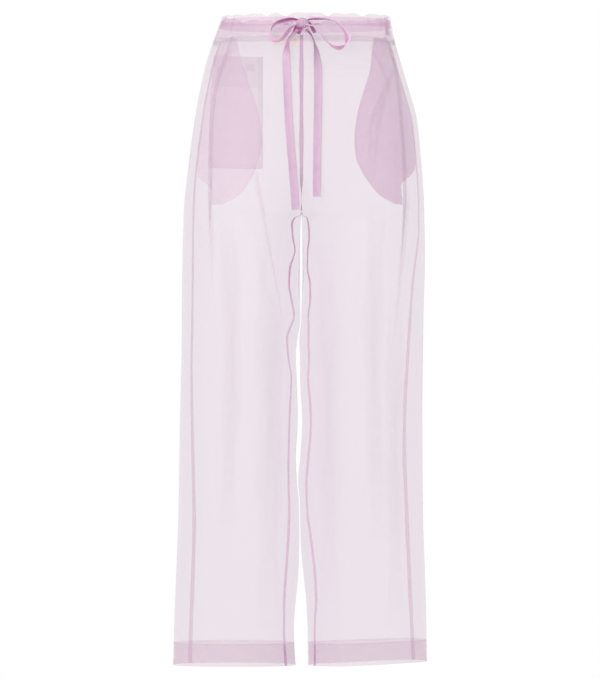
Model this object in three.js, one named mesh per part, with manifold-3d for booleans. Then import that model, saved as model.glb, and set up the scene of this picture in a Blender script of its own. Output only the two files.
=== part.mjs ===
// Wide-leg drawstring trousers in sheer silk organza, filled out as if worn, with nobody inside.
// Millimetres, +Z up. The front faces -Y and the wearer's left is +X. The origin is the middle of
// the waist, half way up the drawstring casing, and the legs hang below it.
import * as THREE from 'three';
import { mergeVertices } from 'three/addons/utils/BufferGeometryUtils.js';
import Module from 'manifold-3d';

const wasm = await Module();
wasm.setup();

// Driving dimensions
const CLOTH = 1.0; // one layer of cloth
const SEAM_GAP = 0.3; // between two pieces that are sewn together
const CASING_TOP = 18;
const CASING_BOTTOM = -18;
const TUNNEL = 2.6; // room for the ribbon in the upper half of the casing
const BAND = 0.5; // room between the two layers of its lower half
const TUNNEL_FLOOR = -1.6; // the row of stitching under the ribbon
const CEILING = 1.5; // the casing's fold at its top edge
const CROTCH_Z = -300;
const CROTCH_ARCH = 72; // the height over which the centre seams curve under the body
const HEM_BOTTOM = -1019.5;
const HEM_TOP = -983;
const RIBBON_WIDTH = 13;
const RIBBON = 1.2;
const RIBBON_Z = 5; // mid height of the ribbon in its tunnel
const SLIT_NEAR = 16.5; // each slit for the ribbon, from the centre front
const SLIT_FAR = 26;
const HIP_FULLNESS = 2.4; // 2 is an ellipse, more is squarer
const LEG_FULLNESS = 2.2;

// Outline at each height: the right and left sides, and the depth of front and back.
const BODY = [
  { z: 20, right: 126, left: 142, front: 96, back: 100 },
  { z: -18, right: 140, left: 149, front: 100, back: 105 },
  { z: -52, right: 151, left: 158, front: 106, back: 113 },
  { z: -100, right: 162.5, left: 172, front: 111, back: 122 },
  { z: -148, right: 171, left: 185, front: 115, back: 129 },
  { z: -212, right: 180, left: 191.5, front: 118, back: 134 },
  { z: -276, right: 186.5, left: 196, front: 118, back: 134 },
  { z: -356, right: 189.5, left: 197.5, front: 112, back: 124 },
  { z: -468, right: 191, left: 196.5, front: 101, back: 111 },
  { z: -628, right: 194.5, left: 194.5, front: 90, back: 98 },
  { z: -788, right: 197.5, left: 196, front: 84, back: 90 },
  { z: -916, right: 202.5, left: 199, front: 81, back: 86 },
  { z: -1020, right: 205.6, left: 200.8, front: 80, back: 84 },
];

// Inner edge of each leg, measured from the centre plane towards that leg.
const INNER_EDGE = [
  { z: -300, right: 0.2, left: 0.2 },
  { z: -318, right: 1.2, left: 0.6 },
  { z: -350, right: 1.8, left: 0.9 },
  { z: -468, right: 1.6, left: -0.6 },
  { z: -500, right: 6.5, left: -3.6 },
  { z: -524, right: 8.8, left: -2.6 },
  { z: -564, right: 7.2, left: -2.4 },
  { z: -628, right: 5.6, left: 0.8 },
  { z: -690, right: 8.8, left: -2.4 },
  { z: -724, right: 7.2, left: -5.4 },
  { z: -760, right: 4.2, left: -2.8 },
  { z: -820, right: 3.2, left: -1.6 },
  { z: -884, right: 5.6, left: 4 },
  { z: -916, right: 8.8, left: 7.2 },
  { z: -960, right: 12, left: 9.5 },
  { z: -1020, right: 9, left: 10.4 },
];

// Seams of each leg, measured in from its silhouette: the inseam lies on the near side of the
// inner edge, and the outseam on the far side of the outer edge.
const SEAMS = [
  { z: 20, inseam: 0, outRight: 7, outLeft: 6 },
  { z: -100, inseam: 0, outRight: 8, outLeft: 5 },
  { z: -234, inseam: 0, outRight: 9.6, outLeft: 5 },
  { z: -300, inseam: 0, outRight: 10.5, outLeft: 5.5 },
  { z: -318, inseam: 9, outRight: 11, outLeft: 6 },
  { z: -345, inseam: 11, outRight: 11.5, outLeft: 8 },
  { z: -411, inseam: 11, outRight: 12, outLeft: 15 },
  { z: -506, inseam: 12, outRight: 12, outLeft: 20 },
  { z: -660, inseam: 12, outRight: 16, outLeft: 25 },
  { z: -800, inseam: 13, outRight: 21, outLeft: 22 },
  { z: -880, inseam: 16, outRight: 22, outLeft: 20.5 },
  { z: -1020, inseam: 10, outRight: 22, outLeft: 17 },
];

// The soft pleat beside each front pocket: where its edge runs, and how deep it is there.
const PLEATS = {
  right: [
    { z: -18, x: 112, depth: 2.4 },
    { z: -57, x: 127, depth: 4.4 },
    { z: -91, x: 137, depth: 4.6 },
    { z: -158, x: 146.4, depth: 4.6 },
    { z: -263, x: 148, depth: 4.4 },
    { z: -340, x: 145, depth: 2.6 },
    { z: -404, x: 143, depth: 0 },
    { z: -1020, x: 140, depth: 0 },
  ],
  left: [
    { z: -18, x: 134, depth: 2.4 },
    { z: -44, x: 147, depth: 4.4 },
    { z: -97, x: 157, depth: 4.6 },
    { z: -155, x: 161.8, depth: 4.6 },
    { z: -198, x: 165, depth: 4.6 },
    { z: -282, x: 166, depth: 4.4 },
    { z: -360, x: 159, depth: 3.4 },
    { z: -444, x: 150, depth: 1.4 },
    { z: -490, x: 148, depth: 0 },
    { z: -1020, x: 144, depth: 0 },
  ],
};
// The pleat's own section: along the cloth from its edge, and the share of its depth there.
const PLEAT_SECTION = [
  { along: -16, share: 0 },
  { along: -1.2, share: 0 },
  { along: 1.2, share: 0.9 },
  { along: 7, share: 1 },
  { along: 18, share: 0.6 },
  { along: 34, share: 0 },
];

// Soft folds: share of the panel's width at the top and bottom of each, its height, half width
// and depth. A negative depth is a ridge.
const FOLDS = [
  { panel: 'front_right', top: 0.25, foot: 0.12, zTop: -215, zFoot: -480, half: 9, depth: 3 },
  { panel: 'front_right', top: 0.62, foot: 0.58, zTop: -420, zFoot: -960, half: 24, depth: -3 },
  { panel: 'front_right', top: 0.36, foot: 0.32, zTop: -560, zFoot: -1000, half: 18, depth: 3 },
  { panel: 'front_left', top: 0.3, foot: 0.34, zTop: -330, zFoot: -700, half: 20, depth: 2.5 },
  { panel: 'front_left', top: 0.5, foot: 0.55, zTop: -420, zFoot: -980, half: 24, depth: -3 },
  { panel: 'front_left', top: 0.76, foot: 0.8, zTop: -380, zFoot: -900, half: 14, depth: 2.5 },
  { panel: 'back_right', top: 0.45, foot: 0.4, zTop: -300, zFoot: -900, half: 22, depth: 3.5 },
  { panel: 'back_right', top: 0.78, foot: 0.86, zTop: -260, zFoot: -470, half: 10, depth: 3 },
  { panel: 'back_left', top: 0.5, foot: 0.42, zTop: -320, zFoot: -940, half: 22, depth: 3.5 },
  { panel: 'back_left', top: 0.76, foot: 0.85, zTop: -250, zFoot: -450, half: 10, depth: 3 },
];

// Gathers that hang from the casing, so many to each of the four panels.
const GATHERS = 5;
const GATHER_HALF = 11;
const GATHER_DEPTH = 2.1;
const GATHER_LENGTH = 95;

// Dips in the casing's top edge, from the centre towards the wearer's left.
const TOP_DIPS = [
  { x: -96, dip: 2.6, half: 14 },
  { x: -57, dip: 3.6, half: 10 },
  { x: -27, dip: 4.3, half: 10 },
  { x: 42, dip: 4.1, half: 9 },
  { x: 72, dip: 1.6, half: 12 },
  { x: 101, dip: 3.8, half: 11 },
];

// Pocket bags: the inner and outer edge of the leaf-shaped bag at each height.
const BAGS = {
  right: [
    { z: -19, inner: 107, outer: 132 },
    { z: -50, inner: 98.4, outer: 144 },
    { z: -99, inner: 82.4, outer: 156 },
    { z: -139, inner: 69, outer: 163 },
    { z: -184, inner: 62, outer: 169 },
    { z: -223, inner: 69.6, outer: 173 },
    { z: -244, inner: 79, outer: 168 },
    { z: -260, inner: 88, outer: 157 },
    { z: -275, inner: 104, outer: 149 },
    { z: -287, inner: 126, outer: 143 },
  ],
  left: [
    { z: -19, inner: 118, outer: 141 },
    { z: -42, inner: 115, outer: 149 },
    { z: -69, inner: 111, outer: 156 },
    { z: -109, inner: 98.4, outer: 170 },
    { z: -144, inner: 88.8, outer: 178 },
    { z: -184, inner: 84, outer: 185 },
    { z: -215, inner: 87, outer: 187 },
    { z: -240, inner: 98, outer: 183 },
    { z: -257, inner: 110, outer: 175 },
    { z: -272, inner: 124, outer: 169 },
    { z: -286, inner: 148, outer: 164 },
  ],
};
const BAG_SEWN_TO = -226; // above this height a bag reaches back to the outseam
const BAG_DEPTHS = { front: 2, back: 3.7 }; // each layer's middle behind the panel's middle

// Patch pocket on the wearer's right back, with a blank tab sewn on it
const PATCH = { near: 62, width: 98, top: -41, bottom: -221 };
const PATCH_LIFT = 1.1;
const TAB = { near: 74, width: 18, top: -52, bottom: -65 };
const LABEL = { near: 3, width: 42, top: -8, bottom: -21, clear: 0.5 }; // blank, inside the back casing

// Ribbon: routes from the knot, in x, y, z, with the direction that the ribbon's width points in.
const KNOT = { x: 1.4, y: -104, z: 0.4, wide: 20, deep: 11, high: 18.5 };
// The knot's sections from right to left: where each is, and its share of the full size.
const KNOT_SECTIONS = [
  { place: -1, size: 0.66 },
  { place: -0.8, size: 0.86 },
  { place: -0.35, size: 1 },
  { place: 0.3, size: 0.98 },
  { place: 0.8, size: 0.84 },
  { place: 1, size: 0.62 },
];
const LOOP_RIGHT = [
  { x: -9.2, y: -107, z: 5.6, across: [0, 0.5, -0.8] },
  { x: -18, y: -107.6, z: 6, across: [0, 0.7, -0.7] },
  { x: -29, y: -107, z: 4, across: [0, 0.75, -0.65] },
  { x: -39, y: -106, z: 1.2, across: [0.1, 0.85, -0.5] },
  { x: -46, y: -106, z: -4, across: [0.2, 1, -0.2] },
  { x: -49.4, y: -107, z: -12, across: [0.1, 1, 0] },
  { x: -49, y: -108, z: -20.5, across: [-0.2, 1, -0.2] },
  { x: -44.5, y: -109, z: -27, across: [-0.2, 1, -0.3] },
  { x: -37, y: -109.6, z: -28, across: [0, 1, -0.4] },
  { x: -29.3, y: -109.8, z: -23.5, across: [0.3, 1, -0.4] },
  { x: -23, y: -109.6, z: -15.5, across: [0.5, 1, -0.3] },
  { x: -16.6, y: -109.6, z: -7.4, across: [0.4, 1, -0.2] },
  { x: -9.2, y: -109.4, z: -3.4, across: [0.1, 1, 0] },
];
const LOOP_LEFT = [
  { x: 12, y: -107, z: 6, across: [0, 0.5, -0.8] },
  { x: 19, y: -107.6, z: 7, across: [0, 0.8, -0.55] },
  { x: 30, y: -107, z: 7, across: [0, 0.9, -0.4] },
  { x: 41, y: -106, z: 6.2, across: [0, 0.95, -0.3] },
  { x: 53, y: -105.6, z: 2.6, across: [-0.1, 1, -0.1] },
  { x: 62.5, y: -105.4, z: -4.8, across: [-0.3, 1, 0.2] },
  { x: 70, y: -106, z: -14, across: [-0.6, 1, 0.1] },
  { x: 73.4, y: -107, z: -24, across: [-0.8, 1, 0] },
  { x: 69.5, y: -108, z: -33, across: [-0.6, 1, -0.5] },
  { x: 61, y: -108.6, z: -38, across: [-0.3, 1, -0.5] },
  { x: 51, y: -108.8, z: -36.4, across: [0, 1, -0.2] },
  { x: 41.6, y: -108.8, z: -29.4, across: [0, 1, 0] },
  { x: 34, y: -109, z: -20, across: [0, 1, 0] },
  { x: 27, y: -109.2, z: -10.6, across: [0, 1, 0] },
  { x: 19.5, y: -109.4, z: -4.6, across: [0, 1, 0] },
  { x: 12, y: -109.4, z: -2.6, across: [0, 1, 0] },
];
const TAIL_RIGHT = [
  { x: -5, y: -105.6, z: -9.6, across: [1, 0, 0.2] },
  { x: -11, y: -106.6, z: -15.5, across: [0.7, -0.7, 0] },
  { x: -17, y: -108.2, z: -22, across: [0.4, -0.9, 0] },
  { x: -20.8, y: -110, z: -30, across: [0.35, -0.9, 0] },
  { x: -22.6, y: -111.6, z: -39, across: [0.6, -0.8, 0] },
  { x: -23.6, y: -112.4, z: -50, across: [0.9, -0.4, 0] },
  { x: -23.8, y: -113, z: -65, across: [1, -0.1, 0] },
  { x: -22.8, y: -114.8, z: -90, across: [1, 0, 0] },
  { x: -21.6, y: -117, z: -120, across: [1, 0, 0] },
  { x: -19.8, y: -119.2, z: -155, across: [1, 0, 0] },
  { x: -17, y: -121, z: -192, across: [1, 0, 0] },
  { x: -14, y: -121.6, z: -228, across: [1, 0, 0] },
  { x: -11.4, y: -121.6, z: -262, across: [1, 0, 0.05] },
  { x: -9.2, y: -121.2, z: -296, across: [1, 0, 0.1] },
];
const TAIL_LEFT = [
  { x: 7, y: -105.6, z: -9.6, across: [1, 0, -0.2] },
  { x: 12, y: -106.8, z: -15.5, across: [0.6, 0.8, 0] },
  { x: 16.4, y: -108.4, z: -22, across: [0.3, 1, 0] },
  { x: 19.4, y: -110, z: -30, across: [0.25, 1, 0] },
  { x: 22, y: -111.4, z: -40, across: [0.5, 0.9, 0] },
  { x: 24, y: -112.2, z: -52, across: [0.7, 0.6, 0] },
  { x: 25.6, y: -113.2, z: -68, across: [0.9, 0.3, 0] },
  { x: 26.2, y: -115.2, z: -94, across: [1, 0.1, 0] },
  { x: 26.2, y: -117.6, z: -126, across: [1, 0, 0] },
  { x: 25.6, y: -119.6, z: -162, across: [1, 0, 0] },
  { x: 25, y: -121, z: -198, across: [1, 0, 0] },
  { x: 24.6, y: -121.6, z: -236, across: [1, 0, 0] },
  { x: 24.4, y: -121.4, z: -275.5, across: [1, 0, 0] },
];

// How finely the solids are cut
const SAMPLES = 160; // points along a section, for measuring along the cloth
const BACK_COLUMNS = 14;
const FRONT_COLUMNS = { before: 7, after: 6 }; // on each side of the pleat
const LOOP_STEP = 7;
const TAIL_STEP = 13;
const CASING_COLUMNS = 17; // for each half of the front or back
const PANEL_HEIGHTS = [-58, -98, -140, -180, -208];
const ARCH_STEPS = 6;
const LEG_HEIGHTS = [-308, -325, -372, -440, -500, -524, -590, -660, -724, -790, -860, -930,
  HEM_TOP];

const mix = THREE.MathUtils.lerp;

// A smooth step from 0 to 1 as the value goes from one number to another, up or down.
function smooth(from, to, value) {
  const t = THREE.MathUtils.clamp((value - from) / (to - from), 0, 1);
  return t * t * (3 - 2 * t);
}

// A smooth curve through one column of a table that runs downwards, with no overshoot.
function along(table, column, z) {
  const last = table.length - 1;
  if (z >= table[0].z) return table[0][column];
  if (z <= table[last].z) return table[last][column];
  let i = 0;
  while (z < table[i + 1].z) i += 1;
  const slope = (k) => (table[k + 1][column] - table[k][column]) / (table[k].z - table[k + 1].z);
  const here = slope(i);
  const before = i > 0 ? slope(i - 1) : here;
  const after = i < last - 1 ? slope(i + 1) : here;
  const mean = (a, b) => (a * b > 0 ? (2 * a * b) / (a + b) : 0);
  const span = table[i].z - table[i + 1].z;
  const t = (table[i].z - z) / span;
  const start = table[i][column];
  const end = table[i + 1][column];
  return start * (1 + 2 * t) * (1 - t) ** 2 + end * t * t * (3 - 2 * t)
    + span * mean(before, here) * t * (1 - t) ** 2 - span * mean(here, after) * t * t * (1 - t);
}

const sideName = (side) => (side < 0 ? 'right' : 'left');
const power = (value, exponent) => Math.sign(value) * Math.abs(value) ** exponent;

// The size of one side's section at a height: the inner and outer edge of the cloth's middle.
function sectionSize(side, z) {
  const outer = along(BODY, sideName(side), z) - CLOTH / 2;
  const gap = along(INNER_EDGE, sideName(side), z) + CLOTH / 2;
  const inner = z >= CROTCH_Z ? 0 : gap * smooth(0, 10, CROTCH_Z - z);
  return { outer, inner, centre: (outer + inner) / 2, radius: (outer - inner) / 2 };
}

// How far the section has turned from half of the hips into a whole leg, 0 to 1. Along the centre
// seams this is a quarter of an ellipse, and away from them it is gentler.
function legShare(z, turn) {
  const fromEnd = Math.min(turn, 1 - turn);
  const climb = THREE.MathUtils.clamp((CROTCH_Z + CROTCH_ARCH - z) / CROTCH_ARCH, 0, 1);
  const seam = 1 - (1 - climb * climb) ** mix(0.5, 1, smooth(0, 0.05, fromEnd));
  const thigh = smooth(CROTCH_Z + CROTCH_ARCH, CROTCH_Z - CROTCH_ARCH, z);
  return mix(seam, thigh, smooth(0, 0.1, fromEnd));
}

// The middle of the cloth: turn goes from 0 at the centre front or the inner edge, through 0.5 at
// the side, to 1 at the centre back or the inner edge again, and past 1 round to the front.
function clothPoint(side, z, turn) {
  const t = turn > 1 ? turn - 1 : Math.max(turn, 0);
  const { outer, centre, radius } = sectionSize(side, z);
  const depth = along(BODY, t <= 0.5 ? 'front' : 'back', z) - CLOTH / 2;
  const x = centre - radius * power(Math.cos(2 * Math.PI * t), 2 / LEG_FULLNESS);
  const reach = THREE.MathUtils.clamp(x / outer, 0, 1);
  const hip = depth * (1 - reach ** HIP_FULLNESS) ** (1 / HIP_FULLNESS);
  const leg = depth * Math.abs(Math.sin(2 * Math.PI * t)) ** (2 / LEG_FULLNESS);
  const y = mix(hip, leg, legShare(z, t));
  return new THREE.Vector3(side * x, t <= 0.5 ? -y : y, z);
}

function turnAtInset(side, z, inset) {
  const { radius } = sectionSize(side, z);
  return Math.acos((1 - inset / radius) ** (LEG_FULLNESS / 2)) / (2 * Math.PI);
}

function panelEnds(side, part, z) {
  const inseam = z >= CROTCH_Z ? 0 : turnAtInset(side, z, along(SEAMS, 'inseam', z));
  const out = along(SEAMS, side < 0 ? 'outRight' : 'outLeft', z);
  const outseam = 0.5 + turnAtInset(side, z, out);
  return part === 'front' ? [inseam, outseam] : [outseam, 1 + inseam];
}

// One panel's section at a height, measured along the cloth and trimmed at its two seams.
const measured = new Map();
function section(side, part, z) {
  const key = `${side} ${part} ${z}`;
  if (measured.has(key)) return measured.get(key);
  const [start, end] = panelEnds(side, part, z);
  const points = [];
  const lengths = [0];
  for (let i = 0; i <= SAMPLES; i += 1) {
    points.push(clothPoint(side, z, mix(start, end, i / SAMPLES)));
    if (i > 0) lengths.push(lengths[i - 1] + points[i].distanceTo(points[i - 1]));
  }
  const total = lengths[SAMPLES];
  const at = (distance) => {
    const d = THREE.MathUtils.clamp(distance, 0, total);
    let i = 1;
    while (i < SAMPLES && lengths[i] < d) i += 1;
    const share = (d - lengths[i - 1]) / (lengths[i] - lengths[i - 1]);
    return points[i - 1].clone().lerp(points[i], share);
  };
  const found = { total, at, from: SEAM_GAP / 2, to: total - SEAM_GAP / 2 };
  measured.set(key, found);
  return found;
}

// The cloth at a share of a panel's width, with the way along it and the way out of it.
function spot(side, part, z, distance) {
  const here = section(side, part, z);
  const share = distance / here.total;
  const tangent = here.at(distance + 1.5).sub(here.at(distance - 1.5)).normalize();
  const above = section(side, part, z + 1);
  const below = section(side, part, z - 1);
  const up = above.at(share * above.total).sub(below.at(share * below.total));
  const out = new THREE.Vector3().crossVectors(tangent, up).multiplyScalar(side);
  const centreSeam = part === 'front' ? share < 0.004 : share > 0.996;
  if (centreSeam && z >= CROTCH_Z) out.x = 0;
  if (centreSeam && Math.abs(z - CROTCH_Z) < 0.5) out.set(0, 0, -1);
  return { point: here.at(distance), tangent, out: out.normalize() };
}

function distanceAtX(side, part, z, x) {
  const here = section(side, part, z);
  const steps = 400;
  for (let i = 0; i <= steps; i += 1) {
    const distance = (here.total * i) / steps;
    if (side * here.at(distance).x >= x) return distance;
  }
  return here.total;
}

// Sinking of the cloth behind its plain section, for gathers, soft folds and the pleat.
function gatherDepth(part, side, share, z) {
  const fall = smooth(-GATHER_LENGTH, CASING_BOTTOM, z);
  let depth = 0;
  for (let i = 0; i < GATHERS; i += 1) {
    const place = (i + 0.55 + 0.22 * Math.sin(2.4 * i + side + part.length)) / GATHERS;
    const size = GATHER_DEPTH * (0.7 + 0.3 * Math.cos(1.7 * i + side));
    const off = ((share - place) * 230) / GATHER_HALF;
    depth += size * Math.exp(-off * off);
  }
  return depth * fall;
}

function foldDepth(panel, share, z, width) {
  let depth = 0;
  for (const fold of FOLDS.filter((row) => row.panel === panel)) {
    const down = (fold.zTop - z) / (fold.zTop - fold.zFoot);
    if (down <= 0 || down >= 1) continue;
    const fade = smooth(0, 0.25, down) * smooth(1, 0.7, down);
    const off = ((share - mix(fold.top, fold.foot, down)) * width) / fold.half;
    depth += fold.depth * fade * Math.exp(-off * off);
  }
  return depth;
}

function sinking(side, part, z, distance) {
  const here = section(side, part, z);
  const share = distance / here.total;
  const panel = `${part}_${sideName(side)}`;
  const calm = smooth(0, 0.05, share) * smooth(1, 0.95, share);
  return calm * (gatherDepth(part, side, share, z) + foldDepth(panel, share, z, here.total));
}

// Points of a layer that lies so far behind (or, negative, in front of) a panel's middle.
function layerPoint(side, part, z, distance, behind) {
  const { point, out } = spot(side, part, z, distance);
  point.addScaledVector(out, -behind - sinking(side, part, z, distance));
  if (z > CROTCH_Z - 12 && side * point.x < SEAM_GAP / 2) point.x = (side * SEAM_GAP) / 2;
  return point;
}

// A closed solid from rings of points, each ring one section; the last joins the first if closed.
function loft(rings, closed, flatSection) {
  const count = rings[0].length;
  const positions = rings.flat().flatMap((p) => [p.x, p.y, p.z]);
  const index = [];
  const spans = closed ? rings.length : rings.length - 1;
  for (let i = 0; i < spans; i += 1) {
    const a = i * count;
    const b = ((i + 1) % rings.length) * count;
    for (let j = 0; j < count; j += 1) {
      const k = (j + 1) % count;
      index.push(a + j, a + k, b + k, a + j, b + k, b + j);
    }
  }
  if (!closed) {
    const end = (rings.length - 1) * count;
    for (const [p, q, r] of THREE.ShapeUtils.triangulateShape(flatSection, [])) {
      const corners = [flatSection[p], flatSection[q], flatSection[r]];
      const agrees = THREE.ShapeUtils.area(corners) * THREE.ShapeUtils.area(flatSection) > 0;
      const [second, third] = agrees ? [q, r] : [r, q];
      index.push(p, third, second, end + p, end + second, end + third);
    }
  }
  return facingOut(positions, index);
}

// A wall between two grids of points, rows by columns.
function wall(front, back) {
  const rows = front.length;
  const columns = front[0].length;
  const positions = [...front.flat(), ...back.flat()].flatMap((p) => [p.x, p.y, p.z]);
  const index = [];
  const far = rows * columns;
  const quad = (a, b, c, d) => index.push(a, b, c, a, c, d);
  for (let i = 0; i < rows - 1; i += 1) {
    for (let j = 0; j < columns - 1; j += 1) {
      const a = i * columns + j;
      quad(a, a + 1, a + columns + 1, a + columns);
      quad(far + a, far + a + columns, far + a + columns + 1, far + a + 1);
    }
  }
  const edge = (a, b) => quad(a, far + a, far + b, b);
  for (let j = 0; j < columns - 1; j += 1) {
    edge(j, j + 1);
    edge((rows - 1) * columns + j + 1, (rows - 1) * columns + j);
  }
  for (let i = 0; i < rows - 1; i += 1) {
    edge((i + 1) * columns, i * columns);
    edge(i * columns + columns - 1, (i + 1) * columns + columns - 1);
  }
  return facingOut(positions, index);
}

function facingOut(positions, index) {
  const corner = (i) => new THREE.Vector3().fromArray(positions, 3 * i);
  let volume = 0;
  for (let i = 0; i < index.length; i += 3) {
    const [a, b, c] = [corner(index[i]), corner(index[i + 1]), corner(index[i + 2])];
    volume += a.dot(b.cross(c));
  }
  if (volume < 0) index.reverse();
  const geometry = new THREE.BufferGeometry();
  geometry.setAttribute('position', new THREE.Float32BufferAttribute(positions, 3));
  geometry.setIndex(index);
  geometry.computeVertexNormals();
  return geometry;
}

function solidOf(geometry) {
  const bare = geometry.clone();
  bare.deleteAttribute('normal');
  bare.deleteAttribute('uv');
  const merged = mergeVertices(bare, 1e-4);
  const vertProperties = new Float32Array(merged.attributes.position.array);
  const triVerts = new Uint32Array(merged.index.array);
  return new wasm.Manifold(new wasm.Mesh({ numProp: 3, vertProperties, triVerts }));
}

function cutAway(geometry, cutters) {
  let solid = solidOf(geometry);
  for (const cutter of cutters) solid = solid.subtract(solidOf(cutter));
  const mesh = solid.getMesh();
  const result = new THREE.BufferGeometry();
  result.setAttribute('position', new THREE.BufferAttribute(mesh.vertProperties, 3));
  result.setIndex(new THREE.BufferAttribute(mesh.triVerts, 1));
  result.computeVertexNormals();
  return result;
}

// Finishes
const organza = new THREE.MeshStandardMaterial({ color: 0xe9dde7, roughness: 0.55 });
organza.transparent = true;
organza.opacity = 0.45;
const organzaDouble = new THREE.MeshStandardMaterial({ color: 0xdcc0d6, roughness: 0.55 });
organzaDouble.transparent = true;
organzaDouble.opacity = 0.65;
const satinRibbon = new THREE.MeshStandardMaterial({ color: 0xdcb6d3, roughness: 0.4 });
const labelTape = new THREE.MeshStandardMaterial({ color: 0xe3d6c6, roughness: 0.7 });

const trousers = new THREE.Group();
trousers.name = 'wide_leg_trousers';

function add(name, geometry, material) {
  const mesh = new THREE.Mesh(geometry, material);
  mesh.name = name;
  trousers.add(mesh);
}

// The hems are level but for a slight rise at the left leg's outer side.
const HEM_RISE = 6;
function hemLift(side, x, z) {
  if (side < 0) return 0;
  return HEM_RISE * smooth(40, 200, x) * smooth(-900, HEM_BOTTOM, z);
}

function panelHeights() {
  const arch = [];
  for (let i = 0; i <= ARCH_STEPS; i += 1) {
    const angle = (i / ARCH_STEPS) * (Math.PI / 2);
    arch.push(CROTCH_Z + CROTCH_ARCH * (1 - Math.sin(angle)));
  }
  const top = CASING_BOTTOM - SEAM_GAP;
  return [top, ...PANEL_HEIGHTS, ...arch, ...LEG_HEIGHTS, HEM_BOTTOM];
}

// Where a panel's columns lie across one of its sections, with the pleat's own sinking there.
function panelColumns(side, part, z) {
  const here = section(side, part, z);
  const plain = (from, to, count) => Array.from({ length: count }, (_, i) => (
    { distance: mix(from, to, i / (count - 1)), pleat: 0 }));
  if (part === 'back') return plain(here.from, here.to, BACK_COLUMNS);
  const rows = PLEATS[sideName(side)];
  const edge = distanceAtX(side, part, z, along(rows, 'x', z));
  const depth = along(rows, 'depth', z);
  const pleat = PLEAT_SECTION.map((row) => (
    { distance: edge + row.along, pleat: row.share * depth }));
  const before = plain(here.from, pleat[0].distance, FRONT_COLUMNS.before).slice(0, -1);
  const after = plain(pleat.at(-1).distance, here.to, FRONT_COLUMNS.after).slice(1);
  return [...before, ...pleat, ...after];
}

function panel(side, part) {
  const face = [];
  const lining = [];
  for (const z of panelHeights()) {
    const columns = panelColumns(side, part, z);
    const place = (behind) => columns.map(({ distance, pleat }) => {
      const point = layerPoint(side, part, z, distance, behind + pleat);
      point.z += hemLift(side, side * point.x, z);
      return point;
    });
    face.push(place(-CLOTH / 2));
    lining.push(place(CLOTH / 2));
  }
  return wall(face, lining);
}

// The casing is one strip folded over at the top: an upside-down U, wide enough above for the
// ribbon and narrow below, where its layers lie together.
const TUNNEL_DEEP = 2 * CLOTH + TUNNEL;
const BAND_DEEP = 2 * CLOTH + BAND;
function casingSection(top) {
  return [
    [0, CASING_BOTTOM], [0, top - 1.6], [1.3, top], [TUNNEL_DEEP - 1.3, top],
    [TUNNEL_DEEP, top - 1.6], [TUNNEL_DEEP, TUNNEL_FLOOR - 1], [BAND_DEEP, TUNNEL_FLOOR - 5],
    [BAND_DEEP, CASING_BOTTOM], [BAND_DEEP - CLOTH, CASING_BOTTOM],
    [BAND_DEEP - CLOTH, TUNNEL_FLOOR - 4.6], [TUNNEL_DEEP - CLOTH, TUNNEL_FLOOR - 0.6],
    [TUNNEL_DEEP - CLOTH, top - CEILING], [CLOTH, top - CEILING], [CLOTH, CASING_BOTTOM],
  ];
}

function topEdge(part, x) {
  const mirrored = part === 'front' ? 1 : -1;
  let top = CASING_TOP;
  for (const row of TOP_DIPS) {
    top -= row.dip * Math.exp(-(((mirrored * x - row.x) / row.half) ** 2));
  }
  return top;
}

// Stations along the casing, from the right outseam across the centre to the left one.
function waistStations(part, count) {
  const stations = [];
  for (const side of [-1, 1]) {
    const fromCentre = (i) => (side < 0 ? 1 - i / (count - 1) : i / (count - 1));
    for (let i = side < 0 ? 0 : 1; i < count; i += 1) {
      const away = fromCentre(i);
      stations.push({ side, share: part === 'front' ? away : 1 - away, away });
    }
  }
  return stations;
}

function casingPoint(part, station, z, behind) {
  const { side, share, away } = station;
  const here = section(side, part, z);
  const last = away === 1 ? SEAM_GAP / 2 : 0;
  const distance = share * here.total + (part === 'front' ? -last : last);
  const { point, out } = spot(side, part, z, distance);
  if (away === 0) point.x = 0;
  out.z = 0;
  out.normalize();
  const calm = smooth(0, 0.05, share) * smooth(1, 0.95, share);
  const sunk = calm * gatherDepth(part, side, share, CASING_BOTTOM);
  return point.addScaledVector(out, CLOTH / 2 - behind - sunk);
}

function casing(part) {
  const rings = waistStations(part, CASING_COLUMNS).map((station) => {
    const { x } = casingPoint(part, station, 0, 0);
    return casingSection(topEdge(part, x)).map(([deep, z]) => casingPoint(part, station, z, deep));
  });
  const flat = casingSection(CASING_TOP).map(([deep, z]) => new THREE.Vector2(deep, z));
  return loft(rings, false, flat);
}

function slitCutter(sign) {
  const high = RIBBON_WIDTH + 2;
  const box = new THREE.BoxGeometry(SLIT_FAR - SLIT_NEAR, 6, high);
  const y = -along(BODY, 'front', RIBBON_Z) + 0.4;
  box.translate((sign * (SLIT_NEAR + SLIT_FAR)) / 2, y, RIBBON_Z);
  return box;
}

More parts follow.
